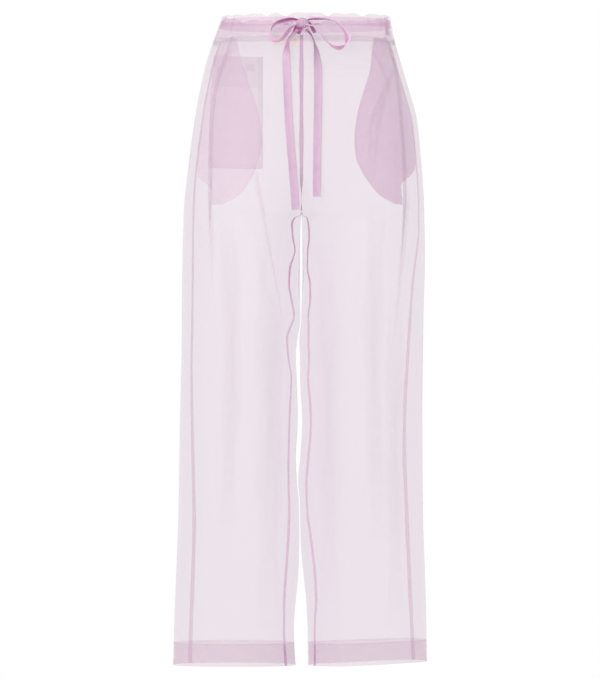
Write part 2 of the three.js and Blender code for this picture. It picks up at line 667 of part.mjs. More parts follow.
// The ribbon inside the casing, and its two ends, which come out of the slits to the knot.
const LEAD = [
  { x: 12, behind: -3.2 },
  { x: 16, behind: -2.6 },
  { x: 19, behind: -1.5 },
  { x: 22.5, behind: 0.9 },
  { x: 25.6, behind: 2.2 },
];
function drawstring() {
  const middle = CLOTH + TUNNEL / 2;
  const stations = (part) => waistStations(part, CASING_COLUMNS)
    .map((station) => ({ part, station, behind: middle }));
  const front = stations('front');
  const xOf = ({ part, station }) => casingPoint(part, station, RIBBON_Z, middle).x;
  const lead = (side) => LEAD.map(({ x, behind }) => {
    const share = distanceAtX(side, 'front', RIBBON_Z, x) / section(side, 'front', RIBBON_Z).total;
    return { part: 'front', station: { side, share, away: share }, behind };
  });
  const path = [
    ...lead(1),
    ...front.filter((place) => xOf(place) > SLIT_FAR + 3),
    ...stations('back').reverse(),
    ...front.filter((place) => xOf(place) < -SLIT_FAR - 3),
    ...lead(-1).reverse(),
  ];
  const corners = [[1, -1], [-1, -1], [-1, 1], [1, 1]];
  const rings = path.map(({ part, station, behind }) => corners.map(([up, deep]) => (
    casingPoint(part, station, RIBBON_Z + (up * RIBBON_WIDTH) / 2, behind + (deep * RIBBON) / 2))));
  return loft(rings, false, corners.map(([up, deep]) => new THREE.Vector2(up, deep)));
}

// A ribbon's route, whose own frames keep its width in the stated directions.
class RibbonRoute extends THREE.CatmullRomCurve3 {
  constructor(route) {
    super(route.map(({ x, y, z }) => new THREE.Vector3(x, y, z)), false, 'centripetal');
    this.across = route.map((row) => new THREE.Vector3(...row.across).normalize());
  }

  acrossAt(u) {
    const place = this.getUtoTmapping(u) * (this.across.length - 1);
    const i = Math.min(Math.floor(place), this.across.length - 2);
    return this.across[i].clone().lerp(this.across[i + 1], place - i);
  }

  computeFrenetFrames(segments) {
    const frames = { tangents: [], normals: [], binormals: [] };
    for (let i = 0; i <= segments; i += 1) {
      const tangent = this.getTangentAt(i / segments);
      const across = this.acrossAt(i / segments);
      across.addScaledVector(tangent, -across.dot(tangent)).normalize();
      frames.tangents.push(tangent);
      frames.normals.push(across);
      frames.binormals.push(new THREE.Vector3().crossVectors(tangent, across));
    }
    return frames;
  }
}

function ribbon(route, step) {
  const w = RIBBON_WIDTH / 2;
  const h = RIBBON / 2;
  const outline = [[w, -0.3], [w, 0.3], [w - 0.8, h], [0.8 - w, h], [-w, 0.3], [-w, -0.3],
    [0.8 - w, -h], [w - 0.8, -h]];
  const shape = new THREE.Shape(outline.map(([a, b]) => new THREE.Vector2(a, b)));
  const path = new RibbonRoute(route);
  const steps = Math.round(path.getLength() / step);
  const swept = new THREE.ExtrudeGeometry(shape, { steps, bevelEnabled: false, extrudePath: path });
  swept.deleteAttribute('normal');
  swept.deleteAttribute('uv');
  const merged = mergeVertices(swept, 1e-4);
  return facingOut([...merged.attributes.position.array], [...merged.index.array]);
}

// The knot: a band of ribbon pulled round the two loops, wider in its middle than at its ends.
function knot() {
  const sides = 12;
  const rings = [];
  for (const { place, size } of KNOT_SECTIONS) {
    const ring = [];
    for (let i = 0; i < sides; i += 1) {
      const angle = (i / sides) * 2 * Math.PI;
      ring.push(new THREE.Vector3(
        KNOT.x + (place * KNOT.wide) / 2,
        KNOT.y + (size * KNOT.deep * power(Math.cos(angle), 0.8)) / 2,
        KNOT.z + (size * KNOT.high * power(Math.sin(angle), 0.8)) / 2,
      ));
    }
    rings.push(ring);
  }
  const flat = rings[0].map((p) => new THREE.Vector2(p.y, p.z));
  return loft(rings, false, flat);
}

// The turned-up hem: one ring inside each leg, made from the panels' own points moved in.
function hem(side) {
  const behind = CLOTH / 2 + SEAM_GAP;
  const rings = [];
  for (const part of ['front', 'back']) {
    const upper = panelColumns(side, part, HEM_TOP);
    const lower = panelColumns(side, part, HEM_BOTTOM);
    upper.forEach((top, i) => {
      const at = (z, distance, depth) => {
        const point = layerPoint(side, part, z, distance, depth);
        point.z += hemLift(side, side * point.x, z);
        return point;
      };
      rings.push([
        at(HEM_TOP, top.distance, behind), at(HEM_BOTTOM, lower[i].distance, behind),
        at(HEM_BOTTOM, lower[i].distance, behind + CLOTH),
        at(HEM_TOP, top.distance, behind + CLOTH),
      ]);
    });
  }
  return loft(rings, true);
}

// One layer of a pocket bag. It lies behind the front panel, then crosses to the outseam.
const BAG_COLUMNS = 9;
function bagRow(side, z, depth, reachesSeam) {
  const rows = BAGS[sideName(side)];
  const pleatDepth = along(PLEATS[sideName(side)], 'depth', z);
  const from = distanceAtX(side, 'front', z, along(rows, 'inner', z));
  const outer = along(rows, 'outer', z) - (reachesSeam ? 6 : 0);
  const to = distanceAtX(side, 'front', z, outer);
  const pleatAt = distanceAtX(side, 'front', z, along(PLEATS[sideName(side)], 'x', z));
  const steps = 12;
  const path = [];
  for (let i = 0; i <= steps; i += 1) {
    const distance = mix(from, to, i / steps);
    const gathered = GATHER_DEPTH * smooth(-GATHER_LENGTH, CASING_BOTTOM - 30, z);
    const clear = gathered + pleatDepth * smooth(pleatAt - 28, pleatAt - 8, distance);
    path.push(layerPoint(side, 'front', z, distance, depth + clear));
  }
  if (reachesSeam) {
    const whole = section(side, 'front', z);
    path.push(layerPoint(side, 'front', z, whole.to - 1.5, depth));
  }
  const curve = new THREE.CatmullRomCurve3(path, false, 'centripetal');
  return curve.getSpacedPoints(BAG_COLUMNS - 1);
}

function pocketBag(side, layer) {
  const rows = BAGS[sideName(side)];
  const heights = rows.map((row) => row.z);
  const outer = [];
  const inner = [];
  for (const z of heights) {
    const line = bagRow(side, z, BAG_DEPTHS[layer], z > BAG_SEWN_TO);
    const offset = (amount) => line.map((point, i) => {
      const way = line[Math.min(i + 1, line.length - 1)].clone().sub(line[Math.max(i - 1, 0)]);
      const out = new THREE.Vector3(way.y, -way.x, 0).multiplyScalar(side).normalize();
      return point.clone().addScaledVector(out, amount);
    });
    outer.push(offset(CLOTH / 2));
    inner.push(offset(-CLOTH / 2));
  }
  return wall(outer, inner);
}

// A patch that lies on a back panel, from the panel's own points moved out.
function patchOnBack(side, size, above, columns, rows) {
  const layer = (lift) => {
    const grid = [];
    for (let i = 0; i < rows; i += 1) {
      const z = mix(size.top, size.bottom, i / (rows - 1));
      const whole = section(side, 'back', z);
      const near = whole.total - backDistanceAtX(side, z, size.near);
      grid.push(Array.from({ length: columns }, (_, j) => {
        const distance = whole.total - near - (size.width * j) / (columns - 1);
        return layerPoint(side, 'back', z, distance, -lift);
      }));
    }
    return grid;
  };
  return wall(layer(above + CLOTH), layer(above));
}

// Distance along a back panel, from the outseam, at which it comes to a distance from the centre.
function backDistanceAtX(side, z, x) {
  const here = section(side, 'back', z);
  const steps = 400;
  for (let i = steps; i >= 0; i -= 1) {
    const distance = (here.total * i) / steps;
    if (side * here.at(distance).x >= x) return distance;
  }
  return 0;
}

// The label hangs against the inside of the back casing.
function waistLabel() {
  const columns = 6;
  const layer = (behind) => [LABEL.top, -14, LABEL.bottom].map((z) => (
    Array.from({ length: columns }, (_, j) => {
      const x = LABEL.near + (LABEL.width * j) / (columns - 1);
      const distance = backDistanceAtX(-1, 0, x);
      const share = distance / section(-1, 'back', 0).total;
      const station = { side: -1, share, away: 0.5 };
      const point = casingPoint('back', station, Math.max(z, CASING_BOTTOM), behind);
      return point.setZ(z);
    })));
  const behind = BAND_DEEP + LABEL.clear;
  return wall(layer(behind), layer(behind + CLOTH));
}

for (const side of [-1, 1]) {
  for (const part of ['front', 'back']) {
    add(`${part}_${sideName(side)}`, panel(side, part), organza);
  }
}
for (const part of ['front', 'back']) {
  const strip = casing(part);
  const slits = part === 'front' ? [slitCutter(-1), slitCutter(1)] : [];
  add(`casing_${part}`, slits.length > 0 ? cutAway(strip, slits) : strip, organzaDouble);
}
for (const side of [-1, 1]) {
  add(`hem_${sideName(side)}`, hem(side), organzaDouble);
  add(`pocket_bag_${sideName(side)}_front`, pocketBag(side, 'front'), organzaDouble);
  add(`pocket_bag_${sideName(side)}_back`, pocketBag(side, 'back'), organzaDouble);
}
add('back_pocket', patchOnBack(-1, PATCH, CLOTH / 2 + PATCH_LIFT, 8, 8), organzaDouble);
add('back_pocket_tab', patchOnBack(-1, TAB, 1.5 * CLOTH + PATCH_LIFT + SEAM_GAP, 3, 3), organzaDouble);
add('waist_label', waistLabel(), labelTape);
add('drawstring', drawstring(), satinRibbon);
add('bow_knot', knot(), satinRibbon);
add('bow_loop_right', ribbon(LOOP_RIGHT, LOOP_STEP), satinRibbon);
add('bow_loop_left', ribbon(LOOP_LEFT, LOOP_STEP), satinRibbon);
add('tail_right', ribbon(TAIL_RIGHT, TAIL_STEP), satinRibbon);
add('tail_left', ribbon(TAIL_LEFT, TAIL_STEP), satinRibbon);

export default trousers;
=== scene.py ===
# %% [markdown]
# # Sheer wide-leg trousers
#
# The real garment is cut from silk organza: a crisp plain weave of fine twisted threads, so open
# that each layer shows through the one in front of it. It is shown filled out, with nobody inside.
# The whole look comes from counting layers: two over a leg, four in a hem, four or five over a
# pocket. So every layer is modelled here as its own thin sheet, on the form of its solid.

# %% Load the frame
import math

import bpy
import numpy as np
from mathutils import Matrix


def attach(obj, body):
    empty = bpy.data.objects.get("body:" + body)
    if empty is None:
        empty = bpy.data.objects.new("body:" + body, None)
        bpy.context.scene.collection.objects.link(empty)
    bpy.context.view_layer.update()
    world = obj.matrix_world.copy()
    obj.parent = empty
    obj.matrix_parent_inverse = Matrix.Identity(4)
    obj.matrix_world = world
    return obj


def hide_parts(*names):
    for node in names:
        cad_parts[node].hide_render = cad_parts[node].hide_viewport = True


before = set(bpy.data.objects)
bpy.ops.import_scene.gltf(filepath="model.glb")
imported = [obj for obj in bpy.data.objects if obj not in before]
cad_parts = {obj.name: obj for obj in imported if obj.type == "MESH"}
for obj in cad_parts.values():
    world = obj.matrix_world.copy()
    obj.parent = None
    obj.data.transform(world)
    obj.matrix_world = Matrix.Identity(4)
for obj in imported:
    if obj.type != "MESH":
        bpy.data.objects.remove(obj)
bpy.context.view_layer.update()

print("frame:", len(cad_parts), "nodes")

# %% [markdown]
# ## Camera
#
# The photograph was taken from far away, level with the knees, so the near and far edges of the
# hem almost meet. A long lens does the same. The camera is tipped up by less than one degree
# instead of being shifted, so that other views of the object stay centred.

# %% Place the camera
CAMERA_PLACE = (-0.0024, -9.5, -0.62)
AIM = (-0.0024, 0.0, -0.4986)
VIEW_HEIGHT = 1.0848  # metres that the frame spans at the middle of the object
SENSOR = 36.0

camera = bpy.data.objects.new("camera", bpy.data.cameras.new("camera"))
bpy.context.scene.collection.objects.link(camera)
away = [a - c for a, c in zip(AIM, CAMERA_PLACE)]
distance_to_aim = math.sqrt(sum(v * v for v in away))
camera.data.lens = SENSOR * distance_to_aim / VIEW_HEIGHT
camera.data.clip_end = 200
camera.location = CAMERA_PLACE
camera.rotation_euler = (math.pi / 2 + math.atan2(away[2], away[1]), 0, 0)
bpy.context.scene.camera = camera
print("camera:", round(camera.data.lens), "mm lens")

# %% [markdown]
# ## Measurements
#
# These are the same tables as the solids are made from, in millimetres. Each runs downwards, and a
# smooth curve goes through each column. The helper turns them into metres.

# %% Tables of the body
MM = 0.001


def table(columns, *rows):
    """Rows of millimetres, as named columns in metres."""
    return {name: MM * np.array([row[i] for row in rows], float)
            for i, name in enumerate(columns.split())}


BODY = table(
    "z right left front back",
    (20, 126, 142, 96, 100),
    (-18, 140, 149, 100, 105),
    (-52, 151, 158, 106, 113),
    (-100, 162.5, 172, 111, 122),
    (-148, 171, 185, 115, 129),
    (-212, 180, 191.5, 118, 134),
    (-276, 186.5, 196, 118, 134),
    (-356, 189.5, 197.5, 112, 124),
    (-468, 191, 196.5, 101, 111),
    (-628, 194.5, 194.5, 90, 98),
    (-788, 197.5, 196, 84, 90),
    (-916, 202.5, 199, 81, 86),
    (-1020, 205.6, 200.8, 80, 84),
)
INNER_EDGE = table(
    "z right left",
    (-300, 0.2, 0.2),
    (-318, 1.2, 0.6),
    (-350, 1.8, 0.9),
    (-468, 1.6, -0.6),
    (-500, 6.5, -3.6),
    (-524, 8.8, -2.6),
    (-564, 7.2, -2.4),
    (-628, 5.6, 0.8),
    (-690, 8.8, -2.4),
    (-724, 7.2, -5.4),
    (-760, 4.2, -2.8),
    (-820, 3.2, -1.6),
    (-884, 5.6, 4),
    (-916, 8.8, 7.2),
    (-960, 12, 9.5),
    (-1020, 9, 10.4),
)
# How far each inseam lies from the centre, and each outseam in from the side.
INSEAM = table(
    "z right left",
    (-300, 4, 4.6),
    (-318, 12.5, 8.8),
    (-337, 11.6, 9.9),
    (-358, 8.4, 7.9),
    (-386, 15.6, 7.2),
    (-412, 17.4, 11.4),
    (-436, 13.8, 11.6),
    (-462, 9.8, 8.8),
    (-500, 20.4, 8.4),
    (-535, 17.8, 9.4),
    (-561, 14, 8),
    (-600, 15.4, 11),
    (-633, 16.8, 12.4),
    (-700, 18.2, 7.2),
    (-730, 18, 5.4),
    (-777, 16.8, 7),
    (-812, 18, 11.4),
    (-867, 21.6, 18),
    (-916, 24.6, 20.6),
    (-960, 25.2, 18.8),
    (-1020, 22, 18.6),
)
OUTSEAM = table(
    "z right left",
    (20, 7, 6),
    (-100, 8, 5),
    (-234, 9.6, 5),
    (-318, 11, 6),
    (-345, 11.5, 8),
    (-411, 12, 15),
    (-506, 12, 20),
    (-660, 16, 25),
    (-800, 21, 22),
    (-880, 22, 20.5),
    (-1020, 22, 17),
)

# %% Curves through the tables
SIDES = {"right": -1, "left": 1}


def smooth(start, end, value):
    """A smooth step from 0 to 1 as the value goes from start to end, up or down."""
    t = np.clip((value - start) / (end - start), 0, 1)
    return t * t * (3 - 2 * t)


def mix(a, b, share):
    return a + (b - a) * share


def unit(vectors):
    return vectors / np.maximum(np.linalg.norm(vectors, axis=-1, keepdims=True), 1e-12)


def lengths_along(line):
    """How far along a line of points each one lies."""
    return np.r_[0, np.cumsum(np.linalg.norm(np.diff(line, axis=0), axis=1))]


def read_along(places, lengths, values):
    """Three columns of values, read at some places along a line whose points have these lengths."""
    return np.column_stack([np.interp(places, lengths, values[:, k]) for k in range(3)])


def follow(rows, column, z):
    """The smooth curve through one column, with no overshoot."""
    z = np.asarray(z, float)
    heights, values = rows["z"], rows[column]
    steps = heights[:-1] - heights[1:]
    slopes = np.diff(values) / steps
    product = slopes[:-1] * slopes[1:]
    total = np.where(product > 0, slopes[:-1] + slopes[1:], 1)
    lean = np.concatenate([slopes[:1], np.where(product > 0, 2 * product / total, 0), slopes[-1:]])
    i = np.clip(np.searchsorted(-heights, -z, side="right") - 1, 0, len(steps) - 1)
    t = np.clip((heights[i] - z) / steps[i], 0, 1)
    return (values[i] * (1 + 2 * t) * (1 - t) ** 2 + values[i + 1] * t * t * (3 - 2 * t)
            + steps[i] * t * (1 - t) * (lean[i] * (1 - t) - lean[i + 1] * t))


# %% [markdown]
# ## The form of the cloth
#
# Each leg is a tube, and above the crotch the two tubes open into one body. A point on the cloth is
# found by its height and its turn round the leg, from the inner edge at 0 through the side at 0.5
# and back to the inner edge at 1. A panel is one stretch of that turn, and its `Form` measures it
# along the cloth, because a maker also places a pleat or pocket along the cloth.

# %% Sections of the leg and body
CLOTH = 1.0 * MM  # thickness of the solids' walls
CASING_BOTTOM = -18 * MM
CROTCH_Z = -300 * MM
CROTCH_ARCH = 72 * MM
HEM_TOP = -983 * MM
HEM_BOTTOM = -1019.5 * MM
HIP_FULLNESS = 2.4
LEG_FULLNESS = 2.2
SAMPLES = 241  # points across each panel's form


def section_size(side, z):
    outer = follow(BODY, side, z) - CLOTH / 2
    gap = follow(INNER_EDGE, side, z) + CLOTH / 2
    inner = gap * smooth(0, 10 * MM, CROTCH_Z - z)
    return outer, inner


def leg_share(z, turn):
    """How far the section has turned from half of the hips into a whole leg."""
    from_end = np.minimum(turn, 1 - turn)
    climb = np.clip((CROTCH_Z + CROTCH_ARCH - z) / CROTCH_ARCH, 0, 1)
    seam = 1 - (1 - climb * climb) ** mix(0.5, 1, smooth(0, 0.05, from_end))
    thigh = smooth(CROTCH_Z + CROTCH_ARCH, CROTCH_Z - CROTCH_ARCH, z)
    return mix(seam, thigh, smooth(0, 0.1, from_end))


def cloth_points(side, z, turn):
    """Points of the middle of the cloth at one height, for many turns."""
    t = np.where(turn > 1, turn - 1, np.maximum(turn, 0))
    outer, inner = section_size(side, z)
    centre, radius = (outer + inner) / 2, (outer - inner) / 2
    depth = np.where(t <= 0.5, follow(BODY, "front", z), follow(BODY, "back", z)) - CLOTH / 2
    swing = np.cos(2 * np.pi * t)
    x = centre - radius * np.sign(swing) * np.abs(swing) ** (2 / LEG_FULLNESS)
    hip = depth * (1 - np.clip(x / outer, 0, 1) ** HIP_FULLNESS) ** (1 / HIP_FULLNESS)
    leg = depth * np.abs(np.sin(2 * np.pi * t)) ** (2 / LEG_FULLNESS)
    y = mix(hip, leg, leg_share(z, t)) * np.where(t <= 0.5, -1, 1)
    return np.column_stack([SIDES[side] * x, y, np.full_like(x, z)])


def turn_at_inset(side, z, inset):
    outer, inner = section_size(side, z)
    share = np.clip(1 - inset / ((outer - inner) / 2), 0, 1)
    return math.acos(share ** (LEG_FULLNESS / 2)) / (2 * math.pi)


def panel_ends(side, part, z):
    """The turns at which a panel starts and ends, at its two seams."""
    inset = float(follow(INSEAM, side, z) - section_size(side, z)[1])
    inseam = turn_at_inset(side, z, max(inset, 0)) * float(smooth(0, 6 * MM, CROTCH_Z - z))
    outseam = 0.5 + turn_at_inset(side, z, float(follow(OUTSEAM, side, z)))
    return (inseam, outseam) if part == "front" else (outseam, 1 + inseam)


class Form:
    """The smooth form of one panel at a list of heights, measured along the cloth."""

    def __init__(self, side, part, heights):
        self.side, self.part = side, part
        self.name = f"{part}_{side}"
        self.heights = np.asarray(heights, float)
        self.share = np.linspace(0, 1, SAMPLES)
        rows, totals = [], []
        for z in self.heights:
            line = cloth_points(side, z, np.linspace(*panel_ends(side, part, z), SAMPLES))
            length = lengths_along(line)
            rows.append(read_along(self.share * length[-1], length, line))
            totals.append(length[-1])
        self.points = np.array(rows)
        self.total = np.array(totals)
        along = np.gradient(self.points, axis=1)
        up = -np.gradient(self.points, axis=0)
        out = np.cross(along, up) * SIDES[side]
        centre = self.share < 0.004 if part == "front" else self.share > 0.996
        out[np.ix_(self.heights >= CROTCH_Z, centre, [0])] = 0
        self.out = unit(out)

    def at(self, row, distance, behind):
        """Points on one row, so far along the cloth and so far behind its middle."""
        share = distance / self.total[row]
        point = read_along(share, self.share, self.points[row])
        out = unit(read_along(share, self.share, self.out[row]))
        return point - out * np.reshape(behind, (-1, 1))

    def distance_at_x(self, row, x):
        """How far along the cloth it lies x from the centre, on the front or back face."""
        away = SIDES[self.side] * self.points[row, :, 0]
        widest = int(np.argmax(away))
        if self.part == "front":
            share = np.interp(x, away[:widest + 1], self.share[:widest + 1])
        else:
            share = np.interp(-x, -away[widest:], self.share[widest:])
        return float(share) * self.total[row]


# %% [markdown]
# ## Folds, gathers and the pleat
#
# Organza is stiff for its weight, so it doesn't drape in soft curves: it breaks into long shallow
# troughs. The gathers hang from the casing and die out down the hips. Each trough here is a row of
# a short table: where it starts and ends, and how wide and deep it is. Real folds are uneven, so
# no two rows are alike. The same rows move every sheet that lies on a panel.

# %% Gathers and folds
GATHERS = 5
GATHER_HALF = 11 * MM
GATHER_DEPTH = 2.1 * MM
GATHER_LENGTH = 95 * MM
GATHERED_WIDTH = 230 * MM  # about how wide a panel is below the casing

# For each panel, the share of its width at the top and foot, the height at the top and foot, and
# the half width and depth. The broad folds come first, and the finer creases after them.
TROUGHS = {
    "front_right": [
        (0.25, 0.12, -215, -480, 9, 3), (0.62, 0.58, -420, -960, 24, -3),
        (0.36, 0.32, -560, -1000, 18, 3), (0.16, 0.2, -60, -250, 4, 0.9),
        (0.3, 0.2, -150, -330, 5, 1.2), (0.78, 0.72, -120, -330, 5, 1.1),
        (0.86, 0.8, -210, -520, 6, -1.2), (0.07, 0.1, -430, -640, 5, 1.1),
        (0.1, 0.14, -600, -860, 6, -1.3), (0.46, 0.5, -300, -520, 8, 1.2),
        (0.74, 0.76, -620, -980, 7, 1.2),
    ],
    "front_left": [
        (0.3, 0.34, -330, -700, 20, 2.5), (0.5, 0.55, -420, -980, 24, -3),
        (0.76, 0.8, -380, -900, 14, 2.5), (0.1, 0.14, -50, -260, 4, 1.0),
        (0.22, 0.16, -210, -420, 5, 1.3), (0.4, 0.37, -240, -480, 7, 1.1),
        (0.84, 0.8, -230, -520, 6, 1.2), (0.08, 0.1, -480, -700, 5, -1.1),
        (0.16, 0.12, -640, -930, 6, 1.2), (0.62, 0.66, -560, -930, 8, 1.2),
    ],
    "back_right": [
        (0.45, 0.4, -300, -900, 22, 3.5), (0.78, 0.86, -260, -470, 10, 3),
        (0.3, 0.26, -120, -420, 6, 1.2), (0.62, 0.6, -180, -560, 8, 1.3),
        (0.14, 0.18, -430, -860, 7, 1.2), (0.7, 0.66, -560, -960, 9, -1.4),
        (0.9, 0.86, -520, -780, 5, 1.1),
    ],
    "back_left": [
        (0.5, 0.42, -320, -940, 22, 3.5), (0.76, 0.85, -250, -450, 10, 3),
        (0.34, 0.3, -140, -430, 6, 1.2), (0.6, 0.64, -200, -600, 8, 1.2),
        (0.16, 0.2, -460, -880, 7, -1.3), (0.72, 0.68, -540, -950, 9, 1.4),
        (0.9, 0.87, -500, -800, 5, 1.1),
    ],
}


def gather_depth(side, part, share, z):
    """The gathers below the casing, each with its own place and depth."""
    depth = 0
    sign = SIDES[side]
    for i in range(GATHERS):
        place = (i + 0.55 + 0.22 * math.sin(2.4 * i + sign + len(part))) / GATHERS
        size = GATHER_DEPTH * (0.7 + 0.3 * math.cos(1.7 * i + sign))
        depth = depth + size * np.exp(-((share - place) * GATHERED_WIDTH / GATHER_HALF) ** 2)
    return depth * smooth(-GATHER_LENGTH, CASING_BOTTOM, z)


def trough_depth(panel, share, z, width):
    depth = 0
    for top, foot, z_top, z_foot, half, deep in TROUGHS[panel]:
        down = (z_top * MM - z) / ((z_top - z_foot) * MM)
        fade = smooth(0, 0.25, down) * smooth(1, 0.7, down)
        off = (share - mix(top, foot, down)) * width / (half * MM)
        depth = depth + deep * MM * fade * np.exp(-off * off)
    return depth


def sinking(form, row, distance):
    """How far the cloth sinks behind its smooth form."""
    share = distance / form.total[row]
    z = form.heights[row]
    calm = smooth(0, 0.05, share) * smooth(1, 0.95, share)
    crotch = math.exp(-((z - CROTCH_Z) / (50 * MM)) ** 2)
    from_inseam = share if form.part == "front" else 1 - share
    calm = calm * (1 - crotch * smooth(0.55, 0.25, from_inseam))
    deep = gather_depth(form.side, form.part, share, z)
    return calm * (deep + trough_depth(form.name, share, z, form.total[row]))


# %% [markdown]
# ## Sheets as meshes
#
# Every layer is a grid of points, rows down the cloth and columns across it. A sheet carries a UV
# map in metres along the cloth, so that the weave has its real scale and its threads follow the
# panel's own grain, not the world's axes.

# %% Make a sheet from a grid of points
def make_mesh(name, points, faces, uv=None):
    """A smooth mesh of points and faces, with a place on the cloth for each point."""
    mesh = bpy.data.meshes.new(name)
    mesh.from_pydata(points.tolist(), [], faces)
    mesh.polygons.foreach_set("use_smooth", [True] * len(faces))
    if uv is not None:
        corners = np.zeros(len(mesh.loops), np.int32)
        mesh.loops.foreach_get("vertex_index", corners)
        mesh.uv_layers.new(name="cloth").data.foreach_set("uv", uv[corners].ravel())
    mesh.update()
    piece = bpy.data.objects.new(name, mesh)
    bpy.context.scene.collection.objects.link(piece)
    return piece


def dress(piece, material):
    piece.data.materials.append(material)
    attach(piece, "root")
    print(f"{piece.name}: {len(piece.data.vertices)} points")


def set_painted_shade(piece, values):
    """Writes how much painted shade deepens the colour at each point, for the finishes to read."""
    layer = piece.data.attributes.new("shade", "FLOAT", "POINT")
    layer.data.foreach_set("value", values.ravel())


def grid_faces(rows, columns, closed=False):
    wide = columns if closed else columns - 1
    i, j = np.meshgrid(np.arange(rows - 1), np.arange(wide), indexing="ij")
    a = (i * columns + j).ravel()
    b = (i * columns + (j + 1) % columns).ravel()
    return np.column_stack([a, b, b + columns, a + columns])


def cloth_measures(grid):
    """Distances across and down a grid of points, along the cloth, in metres."""
    steps = np.linalg.norm(np.diff(grid, axis=1), axis=2)
    across = np.concatenate([np.zeros((len(grid), 1)), np.cumsum(steps, axis=1)], axis=1)
    drops = np.linalg.norm(np.diff(grid, axis=0), axis=2).mean(axis=1)
    down = np.broadcast_to(-np.r_[0, np.cumsum(drops)][:, None], across.shape)
    return np.stack([across, down], axis=2).reshape(-1, 2)


def cloth_layers(name, grids, material):
    """One piece of cloth from grids of rows x columns x 3 points, with its measures as UVs."""
    points, faces, uv, start = [], [], [], 0
    for grid in grids:
        grid = np.asarray(grid)
        rows, columns = grid.shape[:2]
        points.append(grid.reshape(-1, 3))
        faces.append(grid_faces(rows, columns) + start)
        uv.append(cloth_measures(grid))
        start += rows * columns
    piece = make_mesh(name, np.concatenate(points), np.concatenate(faces).tolist(),
                      np.concatenate(uv))
    dress(piece, material)
    return piece


def cloth_sheet(name, grid, material):
    return cloth_layers(name, [grid], material)


# %% [markdown]
# ## Silk organza
#
# Silk organza is woven from tightly twisted raw silk at about 40 threads a centimetre, with gaps as
# wide as the threads. Seen from a step away the gaps blend into an even veil: about a fifth of
# the light is stopped by each layer. A constant alpha gives that, and the layers add up by
# themselves. The threads are 0.25 mm apart, far too fine to show, so the weave is drawn at 1.2 mm
# and kept faint. Slubs, where the raw silk is thicker, run along the warp as soft streaks.
# Light that bounces between two close layers comes out pinker, so doubled cloth has its own tint.
# The bags have their own tints too, and the wearer's left one is painted deeper and denser: painted
# shade for the side that faces away from the lamp. Seams that carry the strain are pulled tight, and
# their four or more layers stop about half of the light; those of the wearer's right leg are painted
# paler and pinker, painted light for inseams that face away from the lamp. Beside the inseams and at
# the outer sides, a value on the panels' points deepens the tint: painted shade for where the panel
# lies in soft folds.

# %% Nodes for the finishes
def linear(code):
    """An sRGB hex colour as linear light."""
    values = [int(code[i:i + 2], 16) / 255 for i in (1, 3, 5)]
    return [v / 12.92 if v <= 0.04045 else ((v + 0.055) / 1.055) ** 2.4 for v in values] + [1]


def add_node(tree, kind, settings=None, inputs=None):
    """Adds a node with its settings, and with a value or another node's output at each input."""
    node = tree.nodes.new(kind)
    for name, value in (settings or {}).items():
        setattr(node, name, value)
    for name, value in (inputs or {}).items():
        if isinstance(value, bpy.types.NodeSocket):
            tree.links.new(value, node.inputs[name])
        else:
            node.inputs[name].default_value = value
    return node


def new_material(name):
    material = bpy.data.materials.new(name)
    material.use_nodes = True
    material.node_tree.nodes.clear()
    return material, material.node_tree


def cloth_place(tree):
    return add_node(tree, "ShaderNodeUVMap", {"uv_map": "cloth"}).outputs["UV"]


def colour_mix(tree, factor, first, second):
    """One colour that goes over to another as the factor goes from 0 to 1."""
    colours = {"Factor": factor, 6: first, 7: second}
    return add_node(tree, "ShaderNodeMix", {"data_type": "RGBA"}, colours).outputs[2]


def with_painted_shade(tree, colour, deep):
    """A colour that goes over to a deeper one where the mesh's painted shade value is high."""
    shade = add_node(tree, "ShaderNodeAttribute", {"attribute_name": "shade"})
    return colour_mix(tree, shade.outputs["Fac"], colour, linear(deep))


WAVE_PERIODS = 2 * math.pi / 20  # a wave texture of scale 1 repeats at this distance
THREAD_RELIEF = 0.05 * MM


def woven_ribs(tree, cloth, way, spacing):
    scale = WAVE_PERIODS / spacing
    return add_node(tree, "ShaderNodeTexWave", {"bands_direction": way},
                    {"Vector": cloth, "Scale": scale}).outputs["Fac"]


def relief(tree, height, strength):
    return add_node(tree, "ShaderNodeBump", inputs={
        "Height": height, "Strength": strength, "Distance": THREAD_RELIEF}).outputs["Normal"]


def surface(tree, inputs):
    shader = add_node(tree, "ShaderNodeBsdfPrincipled", inputs=inputs)
    add_node(tree, "ShaderNodeOutputMaterial", inputs={"Surface": shader.outputs["BSDF"]})


# %% Organza
WEAVE_SPACING = 1.2 * MM
# Painted shade: the panels' tint goes over to this deeper mauve beside the inseams and at the outer
# sides.
PAINTED_FOLD_SHADE = "#ad7fa9"  # where soft folds send the light through the cloth again and again


